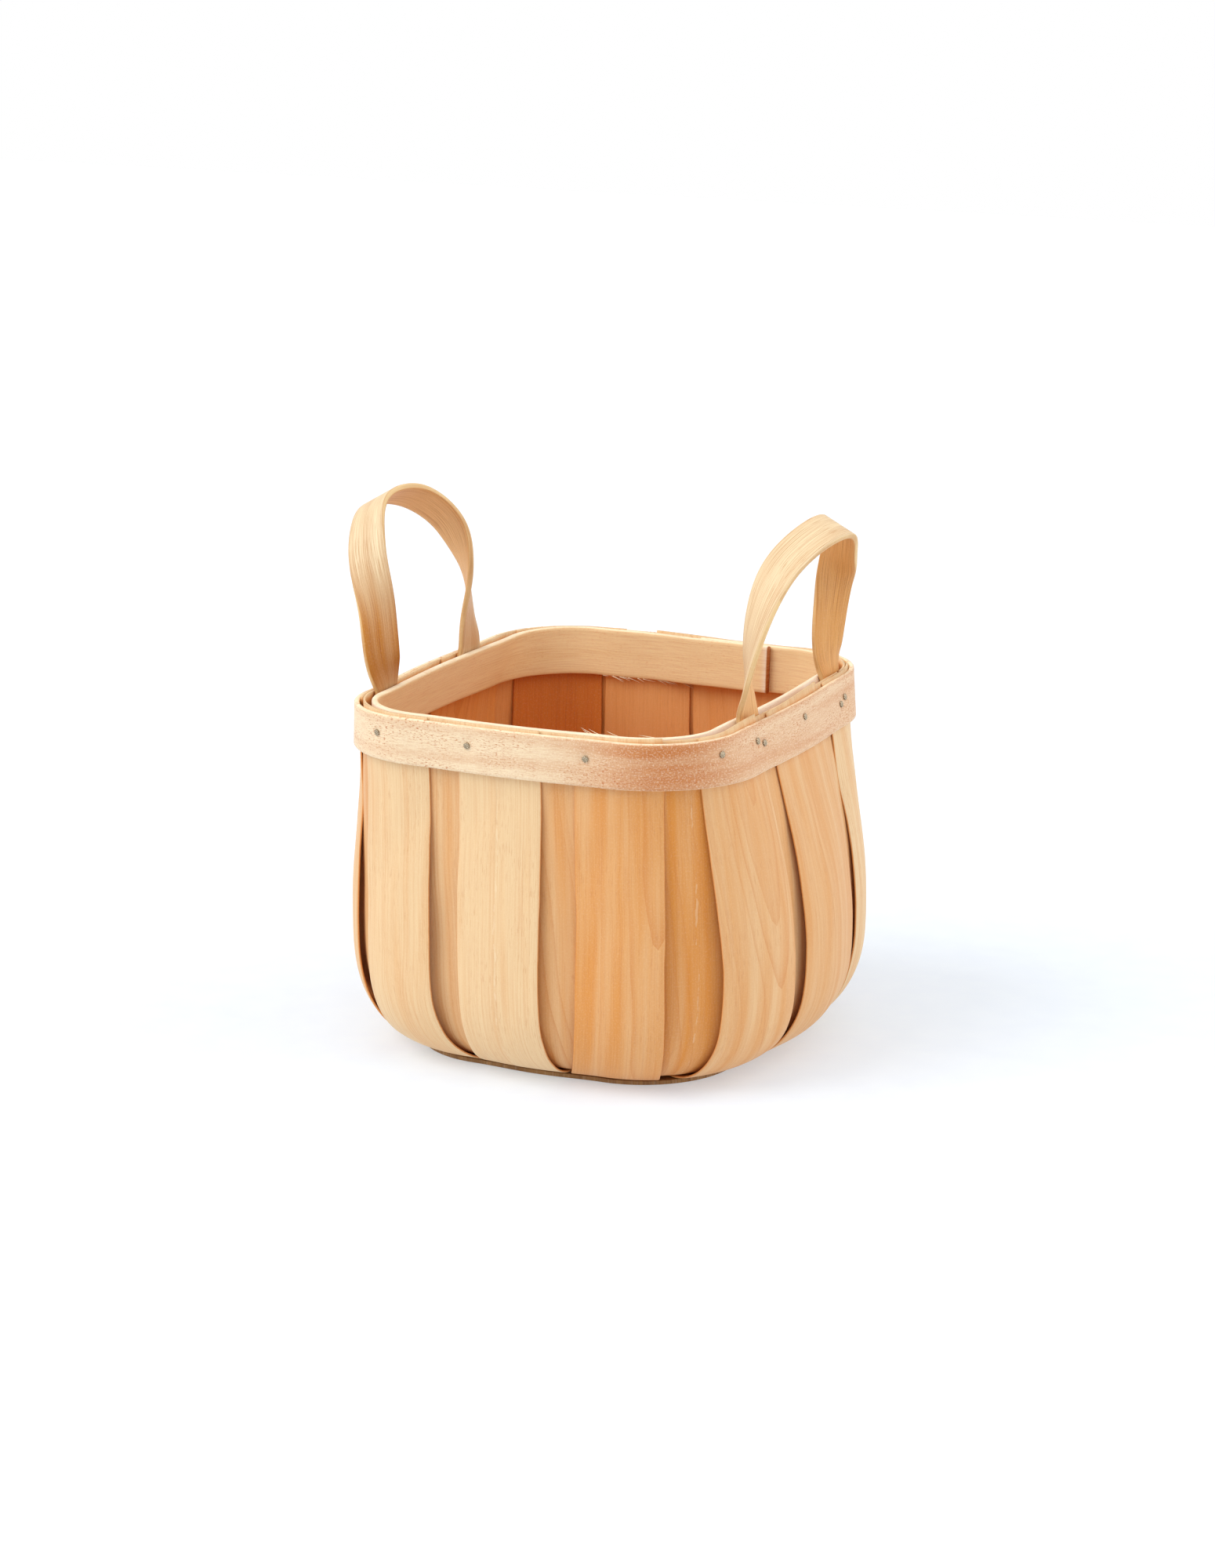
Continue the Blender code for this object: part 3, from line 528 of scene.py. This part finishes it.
def handle_face(facing, shift, half_spacing, rise, lean, table, seed):
    """The face that is inside at the rim, as stations along the strip by places across it.

    Its normal is the direction out of the side, turned round the strip's run by half a turn less 120
    degrees times the turned share. The places across run along the cross product of run and normal.
    Wood can't kink, so the whole strip is smoothed: each station becomes a quarter, a half and a
    quarter of its neighbours and itself, 16 times over.
    """
    leg_stations, arch_stations, turned_over = 16, 160, math.radians(120)
    across = -handle_width / 2 * across_places(13, 0.045)
    places = [shift - half_spacing - facing * across, shift + half_spacing + facing * across]
    legs = [leg_grid(place[None, :], facing, leg_in, leg_stations) for place in places]
    deep = leg_in - handle_wall / 2
    middles = [leg_grid(np.array([[place.mean()]]), facing, deep, leg_stations)[:, 0] for place in places]
    chords = [unit(leg[-1, np.argmax(place)] - leg[-1, np.argmin(place)]) for leg, place in zip(legs, places)]
    first, last = [facing * np.cross(chord, (0, 0, 1)) for chord in chords]
    rising = [np.append(unit(middle[-1] - middle[0]), 0) for middle in middles]
    drawn = np.array(table)
    seat, height = (middles[0][-1, 0] + middles[1][-1, 0]) / 2, middles[0][-1, 2]
    arch = np.column_stack([seat + facing * lean * drawn[:, 0], shift + half_spacing * drawn[:, 1],
                            height + rise * drawn[:, 2], drawn[:, 3]])
    ends = [np.append(middle[-1], 0) for middle in middles]
    path = smooth_path(np.vstack([ends[0], arch, ends[1]]), rising[0], -rising[1], arch_stations)
    centre, turned = path[:, :3], np.clip(path[:, 3:], 0, 1)
    run = unit(np.gradient(centre, axis=0))
    mix = np.linspace(0, 1, len(path))[:, None]
    out = (1 - mix) * first + mix * last
    out = unit(out - run * np.sum(run * out, axis=1)[:, None])
    turn = math.pi - turned * turned_over
    normal = np.cos(turn) * out + np.sin(turn) * np.cross(out, run) * facing
    wide = across * (1 + 0.004 * wobble(seed, mix * 2, 9) * np.sin(math.pi * mix))
    arched = (centre + normal * handle_wall / 2)[:, None] + np.cross(run, normal)[:, None] * wide[..., None]
    face = np.concatenate([legs[0][:-1], arched[1:-1], legs[1][-2::-1]])
    for _ in range(16):
        face[1:-1] = (face[:-2] + 2 * face[1:-1] + face[2:]) / 4
    return face


# The side it faces, its legs' shift and half spacing, its rise and lean, the table of places, and a seed
handle_tables = {
    "left": (-1, -0.0133, 0.0415, 0.0770, 0.0202,
             ((-.05, -1.09, .11, .20), (.26, -.96, .47, .38), (.72, -.75, .78, .72), (1.00, -.38, .99, .96),
              (.79, .39, .99, .99), (.34, .88, .77, .75), (.06, .99, .50, .36), (.02, .95, .15, .09)), 801),
    "right": (1, 0.0100, 0.0475, 0.0757, 0.0173,
              ((.12, -1.08, .22, .21), (.32, -.93, .63, .56), (.44, -.65, .82, .78), (.79, -.21, .97, .90),
               (.99, .32, .99, .96), (.58, .69, .76, .84), (.17, .92, .54, .40), (.01, .93, .12, .15)), 811)}
handle_faces = {side: handle_face(*numbers) for side, numbers in handle_tables.items()}
walked = np.linspace(0, 1, len(handle_faces["left"]))
darker_leg = smooth((0.36 - walked) / 0.20) * (1 - 0.25 * smooth((0.13 - walked) / 0.05))
handle_tones = {"left": 0.02 + 0.98 * darker_leg + 0.35 * smooth((walked - 0.7) / 0.2),
                "right": 0.05 + 0.60 * smooth((walked - 0.55) / 0.2)}
log_seeds = {"left": 25, "right": 35}
handle_pieces = []
for side, face in handle_faces.items():
    made = strip(f"bent_handle_{side}", face, handle_wall, (log_seeds[side], 0.05, 0.01, 0.01, 0.0),
                 handle_tones[side])
    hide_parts(f"handle_{side}")
    handle_pieces.append(made)
print("handles:", [tuple(round(v * 1000) for v in made.dimensions) for made in handle_pieces], "mm")

# %% [markdown]
# The boards and nails are round or nearly so. Both come from one helper that closes rings of points with a
# point at each end. A board's rings grow over its bottom, turn up its edge and shrink again over its top.
# A nail's rings follow a small domed head and a plain shank.

# %% The boards and nails
def closed_rings(name, rings, first, last, values):
    """A closed surface through rings of points, with one point at each end.

    The end faces are triangles from that point to the nearest ring.
    """
    rows, around = rings.shape[:2]
    at = np.arange(rows * around).reshape(rows, around)
    turned = np.roll(at, -1, 1)
    side = np.stack([at[:-1], turned[:-1], turned[1:], at[1:]], -1).reshape(-1, 4)
    start, end = rows * around, rows * around + 1
    fans = [[start, b, a] for a, b in zip(at[0], turned[0])]
    fans += [[end, a, b] for a, b in zip(at[-1], turned[-1])]
    points = np.concatenate([rings.reshape(-1, 3), [first, last]])
    return put_mesh(name, points, side.tolist() + [[int(i) for i in fan] for fan in fans], values)


def board_piece(name, sizes, bottom, seed):
    """A board of 0.35 mm rounded edges: rings at growing shares of its outline, moved in by the rounding."""
    share = np.linspace(0, 1, 400, endpoint=False)
    angle = np.radians([0, 30, 60, 90])
    soft = 0.00035
    moved = np.concatenate([soft * (1 - np.sin(angle)), soft * (1 - np.cos(angle))])
    height = np.concatenate([soft * (1 - np.cos(angle)), board_wall - soft * (1 - np.sin(angle))])
    edge = outline(share[None, :], moved_in(sizes, moved)[:, None, :])
    edge = edge * (1 + 0.0012 * wobble(seed, share, 40))[None, :, None]
    scale = np.linspace(0.04, 0.97, 12)[:, None, None]
    flat = np.concatenate([edge[:1] * scale, edge, edge[-1:] * scale[::-1]])
    level = np.concatenate([np.zeros(len(scale)), height, np.full(len(scale), board_wall)]) + bottom
    rings = np.concatenate([flat, np.broadcast_to(level[:, None, None], (*flat.shape[:2], 1))], -1)
    ends = [(0, 0, bottom), (0, 0, bottom + board_wall)]
    points = np.concatenate([rings.reshape(-1, 3), ends])
    worn = np.concatenate([np.zeros(len(scale)), np.ones(len(height)), np.zeros(len(scale))])
    log = log_distance(points[:, 1], points[:, 0], seed, 0.01, 0.0, 0.02, 0.1)
    grain = np.column_stack([points[:, 1] + seed, points[:, 0], log])
    edges = np.append(np.repeat(worn, len(share)), [0, 0])
    return closed_rings(name, rings, *ends, wood_values(grain, edges))


def nail_piece(name, spot, out, length):
    """A nail: a domed head 3 mm wide and 0.3 mm proud of its spot, over a shank 1.2 mm thick."""
    sideways = unit(np.cross(out, (0.31, 0.12, 1.0)))
    upright = np.cross(out, sideways)
    radius = np.array([0.6, 0.6, 0.6, 1.35, 1.50, 1.50, 1.40, 1.15, 0.7]) / 1000
    height = np.array([-1000 * length, -1.0, 0.0, 0.0, 0.12, 0.34, 0.50, 0.57, 0.60]) / 1000 - 0.0003
    angle = np.linspace(0, 2 * math.pi, 28, endpoint=False)
    ring = np.cos(angle)[:, None] * sideways + np.sin(angle)[:, None] * upright
    rings = spot + height[:, None, None] * out + radius[:, None, None] * ring
    ends = [spot + height[0] * out, spot + height[-1] * out]
    head = radius[:, None, None] * np.stack([np.cos(angle), np.sin(angle)], -1)
    head = np.concatenate([head.reshape(-1, 2), np.zeros((2, 2))])
    return closed_rings(name, rings, *ends, {"head": np.column_stack([head, np.zeros(len(head))])})


lower_board = board_piece("board_lower", board, 0.0, 5)
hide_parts("base_board")
inner_board = board_piece("board_upper", moved_in(board, foot_in + splint_wall + 2 * gap), upper_board, 6)
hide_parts("inner_base_board")
counts = {"rim_nail": len(rim_nail_shares), "handle_nail": len(leg_nail_shares), "base_tack": 6}
nail_names = [f"{kind}_{k + 1:02d}" for kind, count in counts.items() for k in range(count)]
# The solids' nail heads end 0.9 mm above the face they are driven into
head_top = 0.0009
tack_boxes = [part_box(name) for name in nail_names[-counts["base_tack"]:]]
tack_spots = [np.array([(lo.x + hi.x) / 2, (lo.y + hi.y) / 2, hi.z - head_top]) for lo, hi in tack_boxes]
all_out = [*nail_out, *[np.array([0.0, 0, 1])] * counts["base_tack"]]
nails = []
for name, spot, out in zip(nail_names, [*nail_spots, *tack_spots], all_out):
    low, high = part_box(name)
    middle = (np.array(low) + np.array(high)) / 2
    length = 2 * np.linalg.norm(middle - (spot + out * head_top)) - head_top
    nails.append(nail_piece("bright_" + name, spot, out, length))
    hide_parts(name)
print(len(nails), "nails, the longest", round(max(max(n.dimensions) for n in nails) * 1000, 1), "mm")

# %% [markdown]
# The saw leaves loose fibres on the inner hoop: most hang from its lower edge at the back, and a few stand
# on its top in front. They could be hair particles, but 27 are few enough to be drawn one by one: each is
# a thin three-sided spike that curls a little, all in one mesh.

# %% Loose fibres
def spikes(roots, ways, curls, lengths, width):
    """Three-sided spikes with closed tips, as points and faces.

    The middle of each goes from its root along its way by t times the length, plus the curl times t
    squared. Its half width shrinks with the root of 1 - t.
    """
    t = np.linspace(0, 0.98, 7)[None, :, None]
    middle = roots[:, None] + ways[:, None] * lengths[:, None, None] * t + curls[:, None] * t ** 2
    turn = np.radians([0, 120, 240])[:, None]
    aside = unit(np.cross(ways, (0.1, 0.2, 1.0)))[:, None]
    above = np.cross(aside[:, 0], ways)[:, None]
    ring = (np.cos(turn) * aside + np.sin(turn) * above)[:, None]
    points = middle[:, :, None] + width / 2 * np.sqrt(1 - t)[..., None] * ring
    count, rows = points.shape[:2]
    at = np.arange(count * rows * 3).reshape(count, rows, 3)
    turned = np.roll(at, -1, 2)
    side = np.stack([at[:, :-1], turned[:, :-1], turned[:, 1:], at[:, 1:]], -1).reshape(-1, 4)
    ends = np.concatenate([at[:, 0, ::-1], at[:, -1]])
    return points.reshape(-1, 3), side.tolist() + ends.tolist()


def on_inner_hoop(share, height):
    """Points on the inner hoop's inside face."""
    sizes = rim(height, hoop_in_x + inner_hoop_wall, hoop_in_y + inner_hoop_wall)
    return np.column_stack([outline(share, sizes), height])


source = np.random.default_rng(77)
low_count, high_count, fibre_width = 22, 5, 0.0004
count = low_count + high_count
low_shares, high_shares = source.uniform(0.250, 0.325, low_count), source.uniform(0.80, 0.87, high_count)
shares = np.append(low_shares, high_shares)
heights = np.append(np.full(low_count, hoop_foot + 0.0002), np.full(high_count, rim_height + 0.0008))
roots = on_inner_hoop(shares, heights)
forward = unit(on_inner_hoop(shares + 0.001, heights) - roots)
upward = np.append(np.full(low_count, -1.0), np.ones(high_count))
ways = forward * source.uniform(-1.2, -0.5, count)[:, None] + upward[:, None] * np.array([0, 0, 1]) * 0.2
curls = np.column_stack([source.uniform(-.0008, .0008, (count, 2)),
                         upward * source.uniform(-.0004, .0010, count)])
lengths = source.uniform(.0025, .0075, count)
fray_points, fray_faces = spikes(roots, unit(ways), curls, lengths, fibre_width)
frays = put_mesh("loose_fibres", fray_points, fray_faces, wood_values(fray_points, 0.8, tone=0.1))
print("loose fibres:", len(roots))

# %% [markdown]
# Every finish is drawn by formulas, not by pictures, so that it fits any size and never repeats. The wood
# reads each strip's own grain coordinates: how far across, how far along and how far from the log's core.

# %% A helper for finishes
def linear(colour):
    """An sRGB hex colour as linear red, green, blue and alpha."""
    values = np.array([int(colour[i:i + 2], 16) for i in (1, 3, 5)]) / 255
    values = np.where(values <= 0.04045, values / 12.92, ((values + 0.055) / 1.055) ** 2.4)
    return (*values.tolist(), 1.0)


def add(tree, kind, inputs=None, stops=(), **settings):
    """A shader node with its settings, its two colour stops and its inputs.

    Each input is given by name or number, as a value, as an output, or as a node, which stands for the
    first of its outputs that is in use. By number, a map range has its value, from low, from high, to
    low and to high at 0 to 4, and a colour mix its share at 0 and its colours at 6 and 7.
    """
    made = tree.nodes.new("ShaderNode" + kind)
    for key, value in settings.items():
        setattr(made, key, value)
    for k, (position, colour) in enumerate(stops):
        band = made.color_ramp.elements[k]
        band.position, band.color = position, linear(colour)
    for socket, value in (inputs or {}).items():
        if isinstance(value, bpy.types.Node):
            value = next(output for output in value.outputs if output.enabled)
        if isinstance(value, bpy.types.NodeSocket):
            tree.links.new(value, made.inputs[socket])
        else:
            made.inputs[socket].default_value = value
    return made


def finish(name, metallic, ior=1.5):
    """An empty material with a shader whose constant settings are given, ready for its pattern."""
    made = bpy.data.materials.new(name)
    made.use_nodes = True
    shader = made.node_tree.nodes["Principled BSDF"]
    shader.inputs["IOR"].default_value = ior
    shader.inputs["Metallic"].default_value = metallic
    return made, made.node_tree, shader


print("peach, linear:", [round(v, 3) for v in linear("#ecd0b2")])

# %% [markdown]
# Wood is built up in layers, as the eye reads it: a base colour per strip with broad streaks, browner edges
# and back, growth rings, fine fibres, flecks, a pale fuzz, and torn lines.

# %% Wood
fuzz_colour, torn_colour = "#fff0d8", "#fbe8c6"


def wood(name, light, dark, lines, flecks, fibres, edges, backs, fuzz, relief):
    """Wood with its own grain, read from each piece's attributes.

    The tone leads from the light colour to the dark one, and what it has above 1 multiplies that by the
    line's colour. Noise stretched along the strip gives the streaks, fibres and flecks. Growth lines lie
    a gap apart on the distance from the log's core: each darkens slowly and ends sharply, by the power 3
    of its fraction. Lines have a colour, a gap and a share, flecks a colour, a size and a share, fibres a
    size and a share, and backs a colour and a share. Gaps and sizes, across and along, are in metres.
    """
    (line, line_gap, line_share), (fleck, fleck_size, fleck_share) = lines, flecks
    (fibre_size, fibre_share), (back_colour, back_share) = fibres, backs
    made, tree, shader = finish(name, 0.0, 1.53)
    shader.inputs["Specular IOR Level"].default_value = 0.35
    grain = add(tree, "Attribute", attribute_name="grain").outputs["Vector"]
    tone, edge, tear, back = [add(tree, "Attribute", attribute_name=key).outputs["Fac"]
                              for key in ("tone", "edge", "tear", "back")]
    # Noise stretched along the strip: its size across and along, and its detail
    sizes = {"fibres": (*fibre_size, 3.0), "streaks": (0.007, 0.140, 2.5), "flecks": (*fleck_size, 1.0),
             "fuzz": (0.0007, 0.0009, 2.0), "patches": (0.012, 0.030, 2.0), "ragged": (0.004, 0.006, 3.0)}
    noise = {}
    for key, (across, along, detail) in sizes.items():
        place = add(tree, "Mapping", {"Vector": grain, "Scale": (1 / across, 1 / along, 0)})
        noise[key] = add(tree, "TexNoise", {"Vector": place, "Scale": 1.0, "Detail": detail})

    # The base colour: the strip's tone with broad streaks
    streak = add(tree, "MapRange", {0: noise["streaks"], 1: 0.32, 2: 0.68, 3: -0.5, 4: 0.5})
    depth = add(tree, "Math", {0: streak, 1: 0.40, 2: tone}, operation="MULTIPLY_ADD")
    colour = add(tree, "Mix", {0: depth, 6: linear(light), 7: linear(dark)}, data_type="RGBA")

    # Growth lines of uneven gaps and strengths
    core = add(tree, "SeparateXYZ", {0: grain}).outputs[2]
    years = add(tree, "Math", {0: core, 1: 1 / line_gap}, operation="MULTIPLY")
    uneven = add(tree, "TexNoise", {"W": years, "Scale": 0.8, "Detail": 1.0}, noise_dimensions="1D")
    year = add(tree, "Math", {0: uneven, 1: 2.5, 2: years}, operation="MULTIPLY_ADD")
    late = add(tree, "Math", {0: add(tree, "Math", {0: year}, operation="FRACT"), 1: 3.0}, operation="POWER")
    strength = add(tree, "TexNoise", {"W": years, "Scale": 0.41, "Detail": 0.0}, noise_dimensions="1D")
    strength = add(tree, "MapRange", {0: strength, 1: 0.35, 2: 0.65, 3: 0.1, 4: line_share})
    shown = add(tree, "MapRange", {0: tone, 1: 0.0, 2: 0.6, 3: 0.45, 4: 1.0})

    # Fibres, flecks in patches, fuzz and torn lines
    thread = add(tree, "MapRange", {0: noise["fibres"], 1: 0.42, 2: 0.72, 3: 0.0, 4: fibre_share})
    # Tone past 1 darkens further by the line's colour: painted shade on the fifth inner strip inside the back
    # wall, and on the inner hoop's lap end together with its darker end grain
    deeper = add(tree, "Math", {0: tone, 1: 1.0}, operation="SUBTRACT", use_clamp=True)
    thread = add(tree, "Math", {0: thread, 1: deeper}, operation="ADD", use_clamp=True)
    dash = add(tree, "MapRange", {0: noise["flecks"], 1: 0.57, 2: 0.66})
    patch = add(tree, "MapRange", {0: noise["patches"], 1: 0.40, 2: 0.62, 3: 0.05, 4: fleck_share})
    fluff = add(tree, "MapRange", {0: noise["fuzz"], 1: 0.50, 2: 0.68, 3: 0.0, 4: fuzz})
    width = add(tree, "MapRange", {0: noise["ragged"], 1: 0.45, 2: 0.62, 3: 0.0, 4: 0.0006})
    away = add(tree, "Math", {0: tear}, operation="ABSOLUTE")
    torn = add(tree, "Math", {0: away, 1: width}, operation="LESS_THAN")

    pairs = (late, strength), (back, back_share), (edge, 0.85), (dash, patch), (torn, 0.2)
    late, back, edge, dash, faint = [add(tree, "Math", {0: part, 1: share}, operation="MULTIPLY")
                                     for part, share in pairs]
    late = add(tree, "Math", {0: late, 1: shown}, operation="MULTIPLY")
    # Each layer covers the ones before it by its share, but for the fibres, which darken them
    for share, over in ((back, back_colour), (edge, edges), (late, line), (thread, line), (dash, fleck),
                        (fluff, fuzz_colour), (faint, torn_colour)):
        way = "MULTIPLY" if share is thread else "MIX"
        colour = add(tree, "Mix", {0: share, 6: colour, 7: linear(over)}, data_type="RGBA", blend_type=way)
    tree.links.new(colour.outputs[2], shader.inputs["Base Color"])

    height = add(tree, "Math", {0: dash, 1: -0.7, 2: noise["fibres"]}, operation="MULTIPLY_ADD")
    height = add(tree, "Math", {0: height, 1: torn}, operation="ADD")
    raised = add(tree, "Bump", {"Height": height, "Distance": relief})
    tree.links.new(raised.outputs[0], shader.inputs["Normal"])
    rough = add(tree, "MapRange", {0: noise["fibres"], 1: 0.2, 2: 0.8, 3: 0.45, 4: 0.65})
    tree.links.new(rough.outputs[0], shader.inputs["Roughness"])
    return made


# Sliced pine: honey to orange, with soft growth lines and hardly any flecks. Its edges have the torn edge's
# orange-brown, made lighter as painted light for edges that face away from the lamps
# Its back's strong orange is partly its own and partly painted light: the warm glow of light bounced about
# and let through inside the basket
veneer = wood("sliced pine veneer", light="#eac99a", dark="#da8d36", lines=("#cf8036", 0.0042, 0.50),
              flecks=("#c27a40", (0.0005, 0.006), 0.25), fibres=((0.0005, 0.050), 0.16),
              edges="#e2964c", backs=("#ee9c44", 0.65), fuzz=0.06, relief=0.00004)
# Bent beech: pale peach, with the short orange flecks of its rays and a furry sawn face
beech = wood("bent beech strip", light="#f3dbb6", dark="#c66f16", lines=("#d0915c", 0.0030, 0.12),
             flecks=("#bf6a2c", (0.00042, 0.0018), 0.80), fibres=((0.0004, 0.006), 0.35),
             edges="#fdeccb", backs=("#f6d394", 0.75), fuzz=0.32, relief=0.00003)
# Planed beech: the same wood with a smooth face, so its flecks and fuzz hardly show
planed_beech = wood("planed beech strip", light="#faecd8", dark="#bd7226", lines=("#d0915c", 0.0030, 0.30),
                    flecks=("#d47f3c", (0.00038, 0.0022), 0.22), fibres=((0.0005, 0.015), 0.25),
                    edges="#fdeccb", backs=("#f8d698", 0.78), fuzz=0.10, relief=0.00003)
# Riven ash: cream, split along its fibres, which show as fine brown threads
ash = wood("riven ash strip", light="#f0dab2", dark="#c07c28", lines=("#bd8340", 0.0034, 0.22),
           flecks=("#b8793a", (0.00035, 0.012), 0.45), fibres=((0.00025, 0.040), 0.65),
           edges="#e9c68c", backs=("#edab58", 0.70), fuzz=0.05, relief=0.00006)
# Sawn pine board: darker and speckled on its sawn edge
pine = wood("sawn pine board", light="#b88f5c", dark="#8c6034", lines=("#8a5a32", 0.0025, 0.50),
            flecks=("#6e4522", (0.0006, 0.004), 0.40), fibres=((0.0006, 0.020), 0.50),
            edges="#a87c48", backs=("#8c6034", 0.50), fuzz=0.10, relief=0.0001)
dressed = ((veneer, splints + inner_splints + [inner_board]), (beech, [outer_hoop]),
           (planed_beech, [inner_hoop, frays]), (ash, handle_pieces), (pine, [lower_board]))
for look, pieces in dressed:
    for piece in pieces:
        piece.data.materials.append(look)
print("woods:", [look.name for look, _ in dressed])

# %% [markdown]
# The nails are cut wire with a head that is checkered by the die that struck it. The squares are about
# 0.5 mm, which is near the limit of what the picture can show.

# %% Steel
# Steel wire: a dull light grey with a warm film of wood dust, rougher where the dust lies
steel, tree, shader = finish("struck steel wire", 1.0)
head = add(tree, "Attribute", attribute_name="head").outputs["Vector"]
check_size = 0.0005
checks = add(tree, "TexChecker", {"Vector": head, "Scale": 1 / check_size})
dust = add(tree, "TexNoise", {"Vector": head, "Scale": 900.0, "Detail": 3.0})
film = add(tree, "ValToRGB", {0: dust}, stops=[(0.35, "#a09078"), (0.65, "#dccdb4")])
film = add(tree, "Mix", {0: checks.outputs["Fac"], 6: film, 7: linear("#908068")}, data_type="RGBA")
tree.links.new(film.outputs[2], shader.inputs["Base Color"])
rough = add(tree, "MapRange", {0: dust, 3: 0.45, 4: 0.65})
tree.links.new(rough.outputs[0], shader.inputs["Roughness"])
struck = add(tree, "Bump", {"Height": checks.outputs["Fac"], "Distance": 0.0001})
tree.links.new(struck.outputs[0], shader.inputs["Normal"])
for piece in nails:
    piece.data.materials.append(steel)
print("steel on", len(nails), "nails")

# %% [markdown]
# A white studio: a large soft lamp high on the left in front, a weaker one on the right, a third overhead,
# and a pale floor. The floor glows almost to white, so only the basket's own shadow shows on it. The camera
# sees plain white behind, while the wood is lit by a dimmer grey, or its shadows would be lost.

# %% Floor, lamps and background
corners = 3.0 * np.array([(-1, -1, 0), (1, -1, 0), (1, 1, 0), (-1, 1, 0)])
floor = put_mesh("studio_floor", corners, [(0, 1, 2, 3)], {})
paper, tree, shader = finish("matt white paper", 0.0)
spot = add(tree, "TexCoord").outputs["Object"]
fibre = add(tree, "TexNoise", {"Vector": spot, "Scale": 60.0, "Detail": 4.0})
sheet = add(tree, "ValToRGB", {0: fibre}, stops=[(0.3, "#bfc4cb"), (0.7, "#c3c8cf")])
tree.links.new(sheet.outputs[0], shader.inputs["Base Color"])
shader.inputs["Roughness"].default_value = 0.9
shader.inputs["Emission Color"].default_value = linear("#f0f8ff")
shader.inputs["Emission Strength"].default_value = 0.405
floor.data.materials.append(paper)


def lamp(name, sideways, towards, up, power, softness, colour):
    """A distant soft lamp. Its direction is given in the camera's terms: right of it, towards it and up."""
    right = np.array([math.cos(azimuth), math.sin(azimuth), 0])
    near = np.array([math.sin(azimuth), -math.cos(azimuth), 0])
    way = sideways * right + towards * near + np.array([0, 0, up])
    data = bpy.data.lights.new(name, "SUN")
    data.energy, data.angle, data.color = power, math.radians(softness), linear(colour)[:3]
    made = put(name, data)
    made.location = unit(way) * 1.5
    made.rotation_euler = made.location.to_track_quat("Z", "Y").to_euler()


lamp("key_lamp", sideways=-1.0, towards=0.35, up=1.0, power=1.60, softness=45, colour="#fffdfa")
lamp("fill_lamp", sideways=1.0, towards=0.10, up=0.55, power=1.05, softness=70, colour="#ffffff")
lamp("top_lamp", sideways=-0.10, towards=0.25, up=1.0, power=0.80, softness=90, colour="#ffffff")

world = bpy.data.worlds.new("white_studio")
world.use_nodes = True
bpy.context.scene.world = world
tree = world.node_tree
tree.nodes.clear()
path = add(tree, "LightPath").outputs
seen = add(tree, "Math", {0: path["Is Camera Ray"], 1: path["Is Glossy Ray"]}, operation="MAXIMUM")
seen = add(tree, "Math", {0: seen, 1: path["Is Transmission Ray"]}, operation="MAXIMUM")
dim = add(tree, "Background", {"Color": linear("#ffffff"), "Strength": 0.50})
bright = add(tree, "Background", {"Color": linear("#ffffff"), "Strength": 1.0})
both = add(tree, "MixShader", {0: seen, 1: dim, 2: bright})
add(tree, "OutputWorld", {"Surface": both})
bpy.context.scene.view_settings.view_transform = "Standard"

# %% [markdown]
# Last, every piece rides on the basket's one body.

# %% Finish
others = [outer_hoop, inner_hoop, frays, lower_board, inner_board]
for piece in splints + inner_splints + handle_pieces + nails + others:
    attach(piece, "root")
